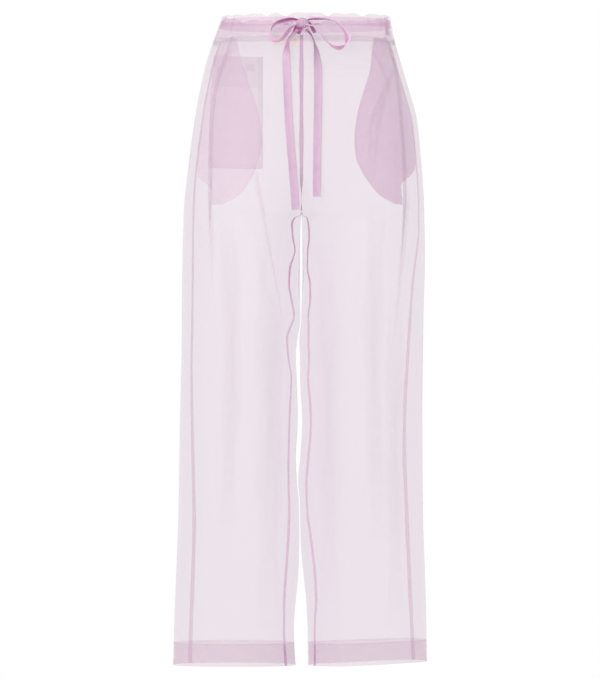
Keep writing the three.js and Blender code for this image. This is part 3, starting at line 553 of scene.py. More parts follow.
def organza(name, thread, slub, alpha):
    """One layer of organza: two thread colours in soft warp streaks, with a faint weave."""
    material, tree = new_material(name)
    cloth = cloth_place(tree)

    def streaks(stretch, detail):
        warp = add_node(tree, "ShaderNodeMapping", inputs={"Vector": cloth, "Scale": stretch})
        return add_node(tree, "ShaderNodeTexNoise", {"noise_dimensions": "2D"}, {
            "Vector": warp.outputs["Vector"], "Scale": 1.0, "Detail": detail}).outputs["Fac"]

    blend = add_node(tree, "ShaderNodeMath", {"operation": "MULTIPLY_ADD"},
                     {0: streaks((170, 7, 1), 3.0), 1: 0.3, 2: streaks((11, 1.6, 1), 1.0)})
    ramp = add_node(tree, "ShaderNodeMapRange", inputs={
        "Value": blend.outputs["Value"], "From Min": 0.45, "From Max": 0.85})
    colour = colour_mix(tree, ramp.outputs["Result"], linear(thread), linear(slub))
    weave = add_node(tree, "ShaderNodeMath", {"operation": "ADD"}, {
        0: woven_ribs(tree, cloth, "X", WEAVE_SPACING),
        1: woven_ribs(tree, cloth, "Y", WEAVE_SPACING)})
    # The base colour deepens with the points' painted shade.
    surface(tree, {
        "Base Color": with_painted_shade(tree, colour, PAINTED_FOLD_SHADE), "Roughness": 0.5, "IOR": 1.5,
        "Specular IOR Level": 0.3, "Sheen Weight": 0.15, "Sheen Roughness": 0.4,
        "Alpha": alpha, "Normal": relief(tree, weave.outputs["Value"], 0.06)})
    return material


body_organza = organza("silk_organza", "#ac92a6", "#b79db1", 0.205)
doubled_organza = organza("silk_organza_doubled", "#b88fa9", "#c39bb4", 0.22)
casing_organza = organza("silk_organza_casing", "#b58dab", "#bf98b5", 0.165)
# The wearer's left bag is painted deeper and denser than the right: painted shade for its side, away
# from the lamp.
pocket_organza = {
    "right": organza("silk_organza_right_bag", "#c89fbb", "#d0a9c4", 0.175),
    "left": organza("silk_organza_left_bag_painted_shade", "#bd79b0", "#c683b9", 0.245),
}
patch_organza = organza("silk_organza_patch", "#b97eae", "#c288b7", 0.19)
seam_organza = organza("silk_organza_seam", "#b873a2", "#c17eac", 0.3)
# The wearer's right inseams are painted paler and pinker than the left: painted light for strips that
# face away from the lamp.
inseam_organza = {
    "right": organza("silk_organza_right_inseam_painted_paler", "#d48dbf", "#db98c8", 0.4),
    "left": organza("silk_organza_left_inseam", "#c279ab", "#cb84b5", 0.4),
}
# Painted paler and less dense on the wearer's right: painted light for the seam that faces away from
# the lamp.
tight_seam_organza = {
    "right": organza("silk_organza_right_tight_seam_painted_paler", "#cc79b6", "#d384bf", 0.46),
    "left": organza("silk_organza_left_tight_seam", "#b4609b", "#bd6ba5", 0.55),
}
casing_seam_organza = organza("silk_organza_casing_seam", "#9a8296", "#a48da0", 0.24)
centre_seam_organza = organza("silk_organza_centre_seam", "#b07ea3", "#b988ac", 0.66)
facing_organza = organza("silk_organza_facing", "#a98aa0", "#b396aa", 0.08)
lap_organza = organza("silk_organza_lap", "#b780a8", "#c08bb1", 0.036)
soft_lap_organza = organza("silk_organza_soft_lap", "#b08aa8", "#ba95b1", 0.014)
tab_organza = organza("silk_organza_tab", "#f6e0ec", "#faeaf3", 0.16)
print("organza:", sum(m.name.startswith("silk_organza") for m in bpy.data.materials), "finishes")

# %% [markdown]
# ## The four panels
#
# Each front has one soft pleat beside its pocket: the cloth doubles back on itself for about half
# a centimetre and goes on underneath, so a darker band of three layers shows. The fold opens out
# and fades down the thigh. The section of the pleat is a sine added to the distance along the
# cloth: where it runs backwards, the cloth is folded.

# %% Pleats in the fronts
# Where the pleat's edge runs, how deep its step is, and how far it laps, at each height.
PLEATS = {
    "right": table(
        "z x depth lap",
        (-18, 112, 2.4, 4),
        (-57, 127, 4.4, 4.6),
        (-91, 137, 4.6, 4.4),
        (-158, 146.4, 4.6, 4.8),
        (-230, 148, 4.6, 5),
        (-284, 147.5, 4, 4),
        (-325, 145.5, 2.6, 1.6),
        (-370, 144, 1.4, 0),
        (-404, 143, 0, 0),
        (-1020, 140, 0, 0),
    ),
    "left": table(
        "z x depth lap",
        (-18, 134, 2.4, 3.6),
        (-44, 147, 4.4, 4),
        (-97, 157, 4.6, 4.4),
        (-155, 161.8, 4.6, 4.2),
        (-198, 165, 4.6, 4.6),
        (-270, 167, 4.4, 4.4),
        (-330, 162, 3.4, 2.4),
        (-400, 154, 2.2, 0.6),
        (-444, 150, 1.4, 0),
        (-490, 148, 0, 0),
        (-1020, 144, 0, 0),
    ),
}
PLEAT_ZONE = 10 * MM  # length of cloth over which the folding happens
PLEAT_FADE = 34 * MM  # from the fold's edge to where the cloth is back on its form
PLEAT_POINTS = 31
BEFORE_PLEAT, AFTER_PLEAT = 110, 66


def pleat_columns(form, row):
    """Distances along a front panel, folded back on themselves at the pleat, and their depths."""
    z = form.heights[row]
    rows = PLEATS[form.side]
    edge = form.distance_at_x(row, float(follow(rows, "x", z)))
    depth = float(follow(rows, "depth", z))
    lap = float(follow(rows, "lap", z))
    swing = (lap + PLEAT_ZONE / 2 * min(1, lap / (4 * MM))) / 2
    start = edge - PLEAT_ZONE / 4 - swing
    t = np.linspace(0, 1, PLEAT_POINTS)
    zone = start + PLEAT_ZONE * t + swing * np.sin(2 * np.pi * t)
    before = start * np.linspace(0, 1, BEFORE_PLEAT + 1)[:-1]
    end = start + PLEAT_ZONE
    after = mix(end, form.total[row], np.linspace(0, 1, AFTER_PLEAT + 1)[1:])
    fall = depth * smooth(0.1, 0.9, t)
    fade = depth * smooth(PLEAT_FADE, 0, after - end)
    return np.r_[before, zone, after], np.r_[0 * before, fall, fade]


# %% Cut the panels
BACK_POINTS = 190
ROW_STEP = 4.2 * MM  # down the legs; rows lie closer at the crotch
FACE = -0.4 * MM  # the sheet lies this far in front of the middle of its solid's wall
HEM_RISE = 6 * MM
CENTRE_GAP = 0.1 * MM


def hem_lift(side, points):
    """The left leg's hem rises a little at its outer side."""
    if side == "right":
        return 0
    rise = smooth(40 * MM, 200 * MM, points[..., 0])
    return HEM_RISE * rise * smooth(-900 * MM, HEM_BOTTOM, points[..., 2])


def panel_columns(form, row):
    """Distances along one row of a panel, and how deep the cloth lies at each."""
    if form.part == "front":
        return pleat_columns(form, row)
    return np.linspace(0, form.total[row], BACK_POINTS), 0


def panel_heights():
    hips = np.linspace(CASING_BOTTOM, CROTCH_Z + 30 * MM, 60)
    crotch = CROTCH_Z + np.linspace(28, -14, 22) * MM
    leg_top = CROTCH_Z - 17 * MM
    legs = np.linspace(leg_top, HEM_BOTTOM, int((leg_top - HEM_BOTTOM) / ROW_STEP))
    return np.concatenate([hips, crotch, legs])


def lay(form, row, distance, behind):
    """Points of a layer on a panel, sunk with the panel's folds and lifted with its hem.

    From the crotch up, each half keeps to its own side of the body's middle.
    """
    points = form.at(row, distance, behind + sinking(form, row, distance))
    points[:, 2] += hem_lift(form.side, points)
    if form.heights[row] > CROTCH_Z - 12 * MM:
        away = np.maximum(SIDES[form.side] * points[:, 0], CENTRE_GAP)
        points[:, 0] = SIDES[form.side] * away
    return points


def painted_fold_shade(grid):
    """Painted shade on the panels: a deeper tint beside the inseam, and a little at the outer side,
    standing in for soft folds.
    """
    points = np.asarray(grid).reshape(-1, 3)
    away, z = np.abs(points[:, 0]), points[:, 2]
    inner = smooth(82 * MM, 18 * MM, away) * smooth(CROTCH_Z + 90 * MM, CROTCH_Z - 60 * MM, z)
    outer = smooth(140 * MM, 192 * MM, away)
    return np.clip(0.8 * inner + 0.5 * outer, 0, 1)


forms = {}
sheets = {}
for side in SIDES:
    for part in ("front", "back"):
        form = Form(side, part, panel_heights())
        forms[form.name] = form
        grid = []
        for row in range(len(form.heights)):
            distance, deep = panel_columns(form, row)
            grid.append(lay(form, row, distance, FACE + deep))
        sheets[form.name] = cloth_sheet(f"panel_{form.name}", grid, body_organza)
        # Painted shade that deepens the tint beside the inseams and at the outer sides.
        set_painted_shade(sheets[form.name], painted_fold_shade(grid))
        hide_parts(form.name)

# %% [markdown]
# ## Seams
#
# Sheer cloth is joined with French seams: the raw edges are sewn, turned and sewn again, so a
# narrow strip of four layers runs beside each seam on the inside. Each strip is a sheet of its own
# just behind the panel, a little uneven in its width, as pressed seams are. A second
# strip lies behind the top of each inseam, which carries the strain, and behind its foot, where the
# turned-up hem doubles it. The centre front's strip is pressed open to both sides of its seam.

# %% French seams
SEAM_POINTS = 5
SEAM_WOBBLE = 0.35 * MM
LONG_WAVE, SHORT_WAVE = 61, 143  # how fast the wobble goes, in radians for each metre
BEHIND_PANEL, BEHIND_SEAM = 0.9 * MM, 1.3 * MM
CENTRE_FOOT = CROTCH_Z + 4 * MM
INSEAM_TOP = CROTCH_Z + 2 * MM


def seam_strip(name, form, end, width, top, foot, material, behind=BEHIND_PANEL):
    """A strip beside a panel's first (0) or last (1) edge, with its width at the top and foot."""
    grid = []
    for row, z in enumerate(form.heights):
        if not foot <= z <= top:
            continue
        uneven = mix(*width, (top - z) / (top - foot)) * MM
        uneven += SEAM_WOBBLE * (math.sin(z * LONG_WAVE) + 0.6 * math.sin(z * SHORT_WAVE + 1))
        inward = np.linspace(0, uneven, SEAM_POINTS)
        distance = inward if end == 0 else form.total[row] - inward
        grid.append(lay(form, row, distance, behind))
    return cloth_sheet(name, grid, material)


with_panel = {name: [] for name in forms}
for side in SIDES:
    front, back = forms[f"front_{side}"], forms[f"back_{side}"]
    with_panel[front.name] += [
        seam_strip(f"inseam_{side}", front, 0, (7.4, 6.4), INSEAM_TOP, HEM_BOTTOM,
                   inseam_organza[side]),
        seam_strip(f"inseam_top_{side}", front, 0, (8.4, 1.2), INSEAM_TOP,
                   CROTCH_Z - 170 * MM, tight_seam_organza[side], BEHIND_SEAM),
        seam_strip(f"inseam_in_hem_{side}", front, 0, (6, 6), HEM_TOP, HEM_BOTTOM,
                   inseam_organza[side], BEHIND_SEAM),
    ]
    with_panel[back.name].append(seam_strip(
        f"outseam_{side}", back, 0, (7, 8.5), CASING_BOTTOM, HEM_BOTTOM, seam_organza))


def centre_front_seam(half=3.1 * MM):
    """The strip behind the centre front seam, pressed open to both sides of it."""
    right, left = forms["front_right"], forms["front_left"]
    away = half * np.linspace(0.3, 1, 3)
    grid = []
    for row, z in enumerate(right.heights):
        if z < CENTRE_FOOT:
            continue
        uneven = 1 + 0.1 * math.sin(z * LONG_WAVE)
        sides = [lay(form, row, away * uneven, BEHIND_PANEL) for form in (right, left)]
        middle = (sides[0][:1] + sides[1][:1]) / 2
        grid.append(np.concatenate([sides[0][::-1], middle, sides[1]]))
    return cloth_sheet("centre_front_seam", grid, centre_seam_organza)


with_panel["front_right"].append(centre_front_seam())
with_panel["back_right"].append(seam_strip(
    "centre_back_seam", forms["back_right"], 1, (5, 5), CASING_BOTTOM, CENTRE_FOOT,
    facing_organza))

# %% [markdown]
# ## Laps
#
# Where the gathers crowd together, the crisp cloth laps over itself and shows as a soft darker
# streak. These fan out below the ends of the casing, run down from the pockets and lie beside the
# inseams. Each is drawn as what it is, extra cloth just behind the panel: five thin strips, or ten
# still thinner ones for a broad lap, each narrower and shorter than the last, so the streak has no
# edge or tip.

# %% Small laps behind the panels
# Panel, half width, then the height and distance from the centre down each lap, in millimetres.
LAPS = [
    ("front_right", 4, (-19, 104), (-70, 131), (-130, 156)),
    ("front_right", 3, (-19, 113), (-60, 140), (-105, 158)),
    ("front_right", 5, (-215, 76), (-300, 61), (-340, 53), (-490, 26)),
    ("front_right", 6, (-262, 146), (-340, 143.5), (-430, 141)),
    ("front_right", 26, (-330, 52), (-560, 48), (-960, 52)),
    ("front_left", 4.5, (-19, 132), (-70, 150), (-130, 166)),
    ("front_left", 3.5, (-19, 141), (-60, 160), (-112, 173)),
    ("front_left", 9, (-50, 152), (-150, 124), (-250, 112)),
    ("front_left", 6, (-90, 134), (-170, 110), (-240, 108)),
    ("front_left", 8, (-262, 169), (-360, 161), (-500, 146)),
    ("front_left", 24, (-350, 38), (-560, 42), (-950, 44)),
    ("front_left", 18, (-420, 150), (-700, 146), (-960, 150)),
    ("back_right", 5, (-19, 108), (-70, 131), (-130, 150)),
    ("back_right", 18, (-300, 120), (-520, 112), (-800, 120)),
    ("back_left", 5, (-19, 110), (-75, 136), (-140, 152)),
    ("back_left", 18, (-280, 124), (-500, 116), (-820, 124)),
]
LAP_STEP = 7 * MM
LAP_NESTS = (1.0, 0.8, 0.6, 0.4, 0.2)
SOFT_NESTS = tuple(np.linspace(1, 0.1, 10))


def lap(number, panel, half, *path):
    """A nest of strips along a path. A broad lap is softer, and wider at its tips."""
    part, side = panel.split("_")
    route = table("z x", *path)
    if half >= 12:
        nests, tip, shorter, material = SOFT_NESTS, 0.7, 0.4, soft_lap_organza
    else:
        nests, tip, shorter, material = LAP_NESTS, 0.15, 0.16, lap_organza
    strips = []
    for nest in nests:
        top = mix(route["z"][0], route["z"][-1], shorter * (1 - nest))
        foot = mix(route["z"][-1], route["z"][0], 0.55 * (1 - nest))
        form = Form(side, part, np.linspace(top, foot, max(8, int((top - foot) / LAP_STEP))))
        last = len(form.heights) - 1
        grid = []
        for row, z in enumerate(form.heights):
            taper = mix(tip, 1, smooth(-0.2, 0.25, row / last) * smooth(1, 0.4, row / last))
            middle = form.distance_at_x(row, float(follow(route, "x", z)))
            reach = half * MM * nest * taper * (1 + 0.15 * math.sin(z * 31 + number))
            distance = middle + reach * np.linspace(-1, 1, 5)
            distance = np.clip(distance, 0.5 * MM, form.total[row] - 0.5 * MM)
            grid.append(lay(form, row, distance, mix(0.85, 0.15, nest) * MM))
        strips.append(grid)
    return cloth_layers(f"lap_{number:02d}_{panel}", strips, material)


for number, row in enumerate(LAPS, 1):
    with_panel[row[0]].append(lap(number, *row))

# %% [markdown]
# ## Just below the casing
#
# The panels' top edges are gathered into the casing with a seam, whose allowance hangs down behind
# the fronts as a narrow darker band. Below it the gathers crowd so closely that the cloth is deeper
# all round the waist, and that fades over a few centimetres: five layers, each reaching further.

# %% The seam under the casing, and the crowded gathers below it
CASING_SEAM = 9 * MM
CROWDED = (12, 20, 30, 42, 56)  # how far below the casing each layer reaches, in millimetres
CROWDED_ROWS, CROWDED_POINTS = 12, 90


def below_casing(form_name, reach, behind):
    part, side = form_name.split("_")
    form = Form(side, part, np.linspace(CASING_BOTTOM, CASING_BOTTOM - reach, CROWDED_ROWS))
    return [lay(form, row, np.linspace(0, 1, CROWDED_POINTS) * form.total[row], behind)
            for row in range(CROWDED_ROWS)]


for name in forms:
    layers = [below_casing(name, reach * MM, BEHIND_PANEL + 0.15 * MM * k)
              for k, reach in enumerate(CROWDED)]
    with_panel[name].append(cloth_layers(f"crowded_gathers_{name}", layers, soft_lap_organza))
    if name.startswith("front"):
        with_panel[name].append(cloth_sheet(
            f"casing_seam_{name}", below_casing(name, CASING_SEAM, 0.7 * MM), casing_seam_organza))

# %% [markdown]
# ## The drawstring casing
#
# A strip of the same cloth is folded over at the top, so the casing is two layers deep with a
# tunnel for the ribbon in its upper half. The ribbon draws it in, and the cloth puckers: short
# sharp gathers that are deepest at the ribbon and die out below the tunnel's row of stitching.
# One grid goes up the outside, over the fold and down the inside.

# %% The casing and its puckers
CASING_TOP = 18 * MM
TUNNEL_FLOOR = -1.6 * MM
TUNNEL_DEEP = 4.1 * MM
BAND_DEEP = 2.0 * MM
RIBBON_Z = 5 * MM
PUCKERS = 13  # on each half of the front or back
CASING_SKIN = 0.3 * MM  # from the solid's face to the cloth
CASING_HEIGHTS = np.linspace(20, -20, 21) * MM

# Dips in the top edge, from the centre towards the wearer's left on the front.
TOP_DIPS = [
    (-118, 1.8, 6),
    (-96, 3, 11),
    (-73, 1.4, 5),
    (-57, 5, 8),
    (-26, 6, 9),
    (6, 1, 5),
    (42, 5.6, 7),
    (70, 1.8, 9),
    (99, 4.8, 8),
    (128, 1.6, 6),
]


def top_edge(part, x):
    """The height of the casing's fold, lower wherever a pucker pulls it down."""
    mirrored = x if part == "front" else -x
    dips = sum(dip * np.exp(-((mirrored / MM - place) / half) ** 2)
               for place, dip, half in TOP_DIPS)
    return CASING_TOP - dips * MM


def pucker_depth(side, part, share, z):
    """The puckers, uneven in place, width and depth, and strongest over the tunnel."""
    deep = 0
    for i in range(PUCKERS):
        place = (i + 0.5 + 0.34 * math.sin(4.1 * i + 2 * SIDES[side] + len(part))) / PUCKERS
        half = 2.8 + 1.2 * math.sin(2.3 * i + SIDES[side])
        size = 1.3 + 0.7 * math.sin(3.7 * i + len(part))
        deep = deep + size * np.exp(-((share - place) * 200 / half) ** 2)
    below = smooth(CASING_BOTTOM - 4 * MM, TUNNEL_FLOOR + 3 * MM, z)
    return MM * deep * mix(0.35, 1, below)


waist_forms = {(side, part): Form(side, part, CASING_HEIGHTS)
               for side in SIDES for part in ("front", "back")}


def waist_points(side, part, shares, z, behind):
    """Points on the casing: one height and one depth for each share of the half's width."""
    form = waist_forms[side, part]
    height = np.broadcast_to(z, shares.shape)
    row = np.clip(np.interp(-height, -CASING_HEIGHTS, np.arange(len(CASING_HEIGHTS))), 0,
                  len(CASING_HEIGHTS) - 1.001)
    low = row.astype(int)
    blend = (row - low)[:, None]
    column = shares * (SAMPLES - 1)
    left = np.minimum(column.astype(int), SAMPLES - 2)
    part_way = (column - left)[:, None]

    def sample(values):
        upper = mix(values[low, left], values[low, left + 1], part_way)
        lower = mix(values[low + 1, left], values[low + 1, left + 1], part_way)
        return mix(upper, lower, blend)

    out = unit(sample(form.out) * [1, 1, 0])
    calm = smooth(0, 0.05, shares) * smooth(1, 0.95, shares)
    sunk = calm * (gather_depth(side, part, shares, CASING_BOTTOM)
                   + pucker_depth(side, part, shares, height))
    points = sample(form.points) + out * (CLOTH / 2 - behind - sunk)[:, None]
    points[:, 2] = height
    return points


def waist_shares(side, part, away, z=0):
    """The shares of a half's width that lie so far from the centre, at one height."""
    form = waist_forms[side, part]
    row = int(np.argmin(np.abs(CASING_HEIGHTS - z)))
    return np.array([form.distance_at_x(row, x) for x in away]) / form.total[row]


def casing_rows(top):
    """Depth behind the outer face and height, up the outside, over the fold and down the inside."""
    bend = TUNNEL_DEEP / 2
    rows = [(CASING_SKIN, mix(CASING_BOTTOM, top - bend, t)) for t in np.linspace(0, 1, 15)]
    for angle in np.linspace(0, math.pi, 7)[1:-1]:
        rows.append((CASING_SKIN + bend * (1 - math.cos(angle)),
                     top - bend + bend * math.sin(angle)))
    for t in np.linspace(0, 1, 20):
        z = mix(top - bend, CASING_BOTTOM, t)
        narrow = smooth(TUNNEL_FLOOR, TUNNEL_FLOOR - 5 * MM, z)
        rows.append((CASING_SKIN + mix(TUNNEL_DEEP, BAND_DEEP, narrow), z))
    return rows


CASING_POINTS = 150  # across each half
for part in ("front", "back"):
    halves = []
    for side in SIDES:
        away = np.linspace(0, 1, CASING_POINTS)
        shares = away if part == "front" else 1 - away
        top = top_edge(part, waist_points(side, part, shares, 0, 0)[:, 0])
        half = np.array([waist_points(side, part, shares, z, deep)
                         for deep, z in casing_rows(top)])
        halves.append(half[:, ::-1] if side == "right" else half[:, 1:])
    cloth_sheet(f"casing_cloth_{part}", np.concatenate(halves, axis=1),
                                casing_organza)
    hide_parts(f"casing_{part}")

# %% [markdown]
# ## Tucks and slits in the casing
#
# At the ends of the front the casing folds over itself in a few small tucks, which lie between its
# two layers and show as short darker wedges. The ribbon comes out of two short slits near the
# centre. Their lips are turned in and stitched down, so each reads as a small dark mark.

# %% Tucks at the casing's ends, and its two slits
# Side, distance from the centre, half width, and the heights of the top and foot, in millimetres.
TUCKS = [
    ("left", 136, 6, 3, -17),
    ("left", 128, 2.5, 14, -12),
    ("right", 112, 3, 15, -14),
    ("right", 122, 2.5, 10, -18),
    ("right", 98, 2, 15, -4),
    ("left", 108, 2, 13, -6),
]


def casing_tuck(side, away, half, top, foot):
    """A small lap between the casing's two layers, wider at its foot."""
    layers = []
    for nest in LAP_NESTS:
        grid = []
        for z in np.linspace(top, mix(foot, top, 0.3 * (1 - nest)), 10) * MM:
            reach = half * nest * mix(1, 0.3, smooth(foot * MM, top * MM, z))
            places = (away + reach * np.linspace(-1, 1, 5)) * MM
            shares = np.clip(waist_shares(side, "front", places), 0, 0.995)
            grid.append(waist_points(side, "front", shares, z, (0.9 + 0.15 * nest) * MM))
        layers.append(grid)
    return layers


SLIT_NEAR, SLIT_LONG, SLIT_WIDE = 20.5 * MM, 7.5 * MM, 2.4 * MM
SLIT_FOOT = -1.5 * MM


def slit(side):
    """The stitched lips of the slit that lets the ribbon out of its tunnel."""
    shares = waist_shares(side, "front", np.linspace(SLIT_NEAR, SLIT_NEAR + SLIT_LONG, 9))
    grid = [waist_points(side, "front", shares, SLIT_FOOT + z, 0)
            for z in np.linspace(SLIT_WIDE, 0, 4)]
    return cloth_sheet(f"slit_{side}", grid, tight_seam_organza["left"])


tucks = [cloth_layers(f"casing_tuck_{number}", casing_tuck(*row),
                      patch_organza if number == 1 else lap_organza)
         for number, row in enumerate(TUCKS, 1)]
slits = [slit(side) for side in SIDES]

# %% [markdown]
# ## Hems
#
# Each leg is turned up 36 mm and stitched round. The second layer is one ring, made from the
# panels' own columns moved inside, so it keeps to every fold of the leg. It starts at the fold at
# the bottom edge, where it meets the panel.

# %% Turn up the hems
HEM_ROWS = 12
HEM_INSIDE = 0.9 * MM
for side in SIDES:
    halves = []
    for part in ("front", "back"):
        form = Form(side, part, np.linspace(HEM_TOP, HEM_BOTTOM, HEM_ROWS))
        half = []
        for row in range(HEM_ROWS):
            distance, deep = panel_columns(form, row)
            inside = HEM_INSIDE * smooth(1, 0.88, row / (HEM_ROWS - 1))
            half.append(lay(form, row, distance, FACE + deep + inside))
        halves.append(half)
    grid = np.concatenate(halves, axis=1)
    cloth_sheet(f"hem_turned_up_{side}", grid, doubled_organza)
    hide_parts(f"hem_{side}")

# %% [markdown]
# ## Pocket bags
#
# The pockets are set in the side seams. Each bag is two leaf-shaped layers that hang inside the
# front and are sewn together round their edge, so it reads as a darker leaf. A narrow line just
# inside the edge is the bag's own French seam, pressed flat and hardly darker than the bag. Both
# layers run back to the outseam.

# %% The pocket bags
# The inner and outer edge of each bag, from the centre, at each height.
BAGS = {
    "right": table(
        "z inner outer",
        (-19, 107, 132),
        (-50, 98.4, 144),
        (-99, 82.4, 156),
        (-139, 69, 163),
        (-184, 62, 169),
        (-223, 69.6, 173),
        (-238, 76, 172),
        (-244, 79, 167),
        (-252, 83.5, 156),
        (-262, 90, 148),
        (-275, 104, 147),
        (-286, 126, 146.5),
    ),
    "left": table(
        "z inner outer",
        (-19, 118, 141),
        (-42, 115, 149),
        (-69, 111, 156),
        (-109, 98.4, 170),
        (-144, 88.8, 178),
        (-184, 84, 185),
        (-215, 87, 187),
        (-225, 91, 186),
        (-240, 99, 177),
        (-254, 109, 163),
        (-268, 121, 164),
        (-277, 133, 165),
        (-285, 150, 165.5),
    ),
}
BAG_DEPTHS = {"front": 2 * MM, "back": 3.7 * MM}
BAG_POINTS = 44
BAG_ROWS = 80


def room_for_gathers(z):
    """How far the bags keep back from the front's gathers."""
    return GATHER_DEPTH * float(smooth(-GATHER_LENGTH, CASING_BOTTOM - 30 * MM, z))


def bag_line(form, row, depth):
    """One row of a bag, from its inner edge to its outer edge or back to the outseam."""
    z = form.heights[row]
    bag, pleat = BAGS[form.side], PLEATS[form.side]
    to_seam = float(smooth(-244 * MM, -214 * MM, z))
    start = form.distance_at_x(row, float(follow(bag, "inner", z)))
    outer = float(follow(bag, "outer", z)) - 6 * MM * to_seam
    end = form.distance_at_x(row, outer)
    fold = form.distance_at_x(row, float(follow(pleat, "x", z)))
    distance = np.linspace(start, end, BAG_POINTS)
    step = float(follow(pleat, "depth", z)) * smooth(fold - 28 * MM, fold - 8 * MM, distance)
    points = lay(form, row, distance, depth + room_for_gathers(z) + step)
    seam = lay(form, row, np.array([form.total[row] - 1.5 * MM]), depth)[0]
    last = mix(points[-1], seam, to_seam)
    run = [mix(points[-1], last, t) for t in np.linspace(0, 1, 9)[1:]]
    return np.vstack([points, run])


for side in SIDES:
    form = Form(side, "front", np.linspace(BAGS[side]["z"][0], BAGS[side]["z"][-1], BAG_ROWS))
    for layer, depth in BAG_DEPTHS.items():
        grid = [bag_line(form, row, depth) for row in range(BAG_ROWS)]
        bag = cloth_sheet(f"bag_{side}_{layer}", grid, pocket_organza[side])
        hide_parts(f"pocket_bag_{side}_{layer}")

# %% The seam round each bag
BAG_SEAM_INSIDE = 2.4 * MM
BAG_SEAM_WIDTH = 1.8 * MM


def bag_seam(side):
    form = Form(side, "front", np.linspace(-24 * MM, -272 * MM, 60))
    grid = []
    for row, z in enumerate(form.heights):
        start = form.distance_at_x(row, float(follow(BAGS[side], "inner", z)))
        distance = start + BAG_SEAM_INSIDE + BAG_SEAM_WIDTH * np.linspace(0, 1, 3)
        behind = BAG_DEPTHS["front"] + room_for_gathers(z) - 0.3 * MM
        grid.append(lay(form, row, distance, behind))
    return cloth_sheet(f"bag_seam_{side}", grid, facing_organza)


bag_seams = {side: bag_seam(side) for side in SIDES}

# %% [markdown]
# ## Back patch pocket, tab and label
#
# The patch pocket is on the wearer's right back only, and shows through both layers. Its top is
# faced with a second layer about 50 mm deep, and its other edges are turned in. The tab is a scrap
# of paler cloth, and the label is blank tape. Both are plain.

# %% The patch on the back
PATCH_NEAR, PATCH_WIDTH = 62 * MM, 98 * MM
PATCH_TOP, PATCH_BOTTOM = -41 * MM, -221 * MM
PATCH_LIFT = 2.1 * MM


def on_back(name, near, width, top, bottom, lift, material, rows=40, columns=40):
    """A rectangle of cloth on the right back panel, that far from the centre and so wide."""
    form = Form("right", "back", np.linspace(top, bottom, rows))
    grid = []
    for row in range(rows):
        start = form.distance_at_x(row, near)
        grid.append(lay(form, row, start - np.linspace(0, width, columns), -lift))
    return cloth_sheet(name, grid, material)


FACING_DEEP = 49 * MM
TURNING = 8 * MM
INSIDE_PATCH = PATCH_LIFT - 0.5 * MM
patch = on_back("patch_pocket", PATCH_NEAR, PATCH_WIDTH, PATCH_TOP, PATCH_BOTTOM, PATCH_LIFT,
                patch_organza)
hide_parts("back_pocket")
patch_layers = [
    on_back("patch_facing", PATCH_NEAR, PATCH_WIDTH, PATCH_TOP, PATCH_TOP - FACING_DEEP,
            INSIDE_PATCH, facing_organza, rows=14),
    on_back("patch_turning_near", PATCH_NEAR, TURNING, PATCH_TOP, PATCH_BOTTOM,
            INSIDE_PATCH, facing_organza, columns=5),
    on_back("patch_turning_low", PATCH_NEAR, PATCH_WIDTH, PATCH_BOTTOM + TURNING, PATCH_BOTTOM,
            INSIDE_PATCH - 0.3 * MM, lap_organza, rows=5),
]
tab = on_back("blank_tab", 74 * MM, 18 * MM, -52 * MM, -65 * MM, PATCH_LIFT + 0.8 * MM,
              tab_organza, rows=6, columns=6)
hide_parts("back_pocket_tab")

# %% Blank label inside the back casing
LABEL_NEAR, LABEL_WIDTH = 3 * MM, 42 * MM
LABEL_TOP, LABEL_BOTTOM = -8 * MM, -21 * MM


def woven_tape():
    """Matt blank tape: a plain weave in a warm neutral."""
    material, tree = new_material("woven_label_tape")
    weave = add_node(tree, "ShaderNodeTexChecker", inputs={
        "Vector": cloth_place(tree), "Scale": 1 / (0.9 * MM), "Color1": linear("#ead9d2"),
        "Color2": linear("#e0cec6")})
    surface(tree, {"Base Color": weave.outputs["Color"], "Roughness": 0.8, "Sheen Weight": 0.1})
    return material


def waist_label():
    away = LABEL_NEAR + LABEL_WIDTH * np.linspace(0, 1, 30)
    shares = waist_shares("right", "back", away)
    grid = []
    for z in np.linspace(LABEL_TOP, LABEL_BOTTOM, 12):
        line = waist_points("right", "back", shares, max(z, CASING_BOTTOM), BAND_DEEP + 1.3 * MM)
        line[:, 2] = z
        grid.append(line)
    return cloth_sheet("blank_label", grid, woven_tape())


label = waist_label()
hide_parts("waist_label")

# %% [markdown]
# ## Satin ribbon
#
# The drawstring is a 13 mm ribbon of silk satin with a woven edge. Satin's long floats give a soft
# stretched highlight across the ribbon. Where it is folded into the knot, the light passes through it
# again and again and its colour deepens; on top of that, painted shade deepens it near the knot,
# inside the loops, down the tails' tops and in the crossing ends below the knot. The free parts are
# modelled as real ribbons, thin closed bands that twist and curl, on the same routes as the solids.

# %% Satin
# Painted shade: the deep magenta that the ribbons' colour goes over to near the knot and inside the
# loops.
RIBBON_PAINTED_SHADE = "#a3438a"


def satin_ribbon(name, pale, mid, alpha):
    """Satin with a fine rib across it, deepened with painted shade near the knot."""
    material, tree = new_material(name)
    cloth = cloth_place(tree)
    mottle = add_node(tree, "ShaderNodeTexNoise", {"noise_dimensions": "2D"},
                      {"Vector": cloth, "Scale": 60.0, "Detail": 2.0})
    colour = colour_mix(tree, mottle.outputs["Fac"], linear(mid), linear(pale))
    rib = woven_ribs(tree, cloth, "Y", 0.8 * MM)
    surface(tree, {
        "Base Color": with_painted_shade(tree, colour, RIBBON_PAINTED_SHADE), "Roughness": 0.5,
        "Sheen Weight": 0.15, "Sheen Roughness": 0.3, "Specular IOR Level": 0.35,
        "Anisotropic": 0.4, "Alpha": alpha, "Normal": relief(tree, rib, 0.2)})
    return material


ribbon_satin = satin_ribbon("silk_satin_ribbon", "#c8adc2", "#be9fb7", 0.86)
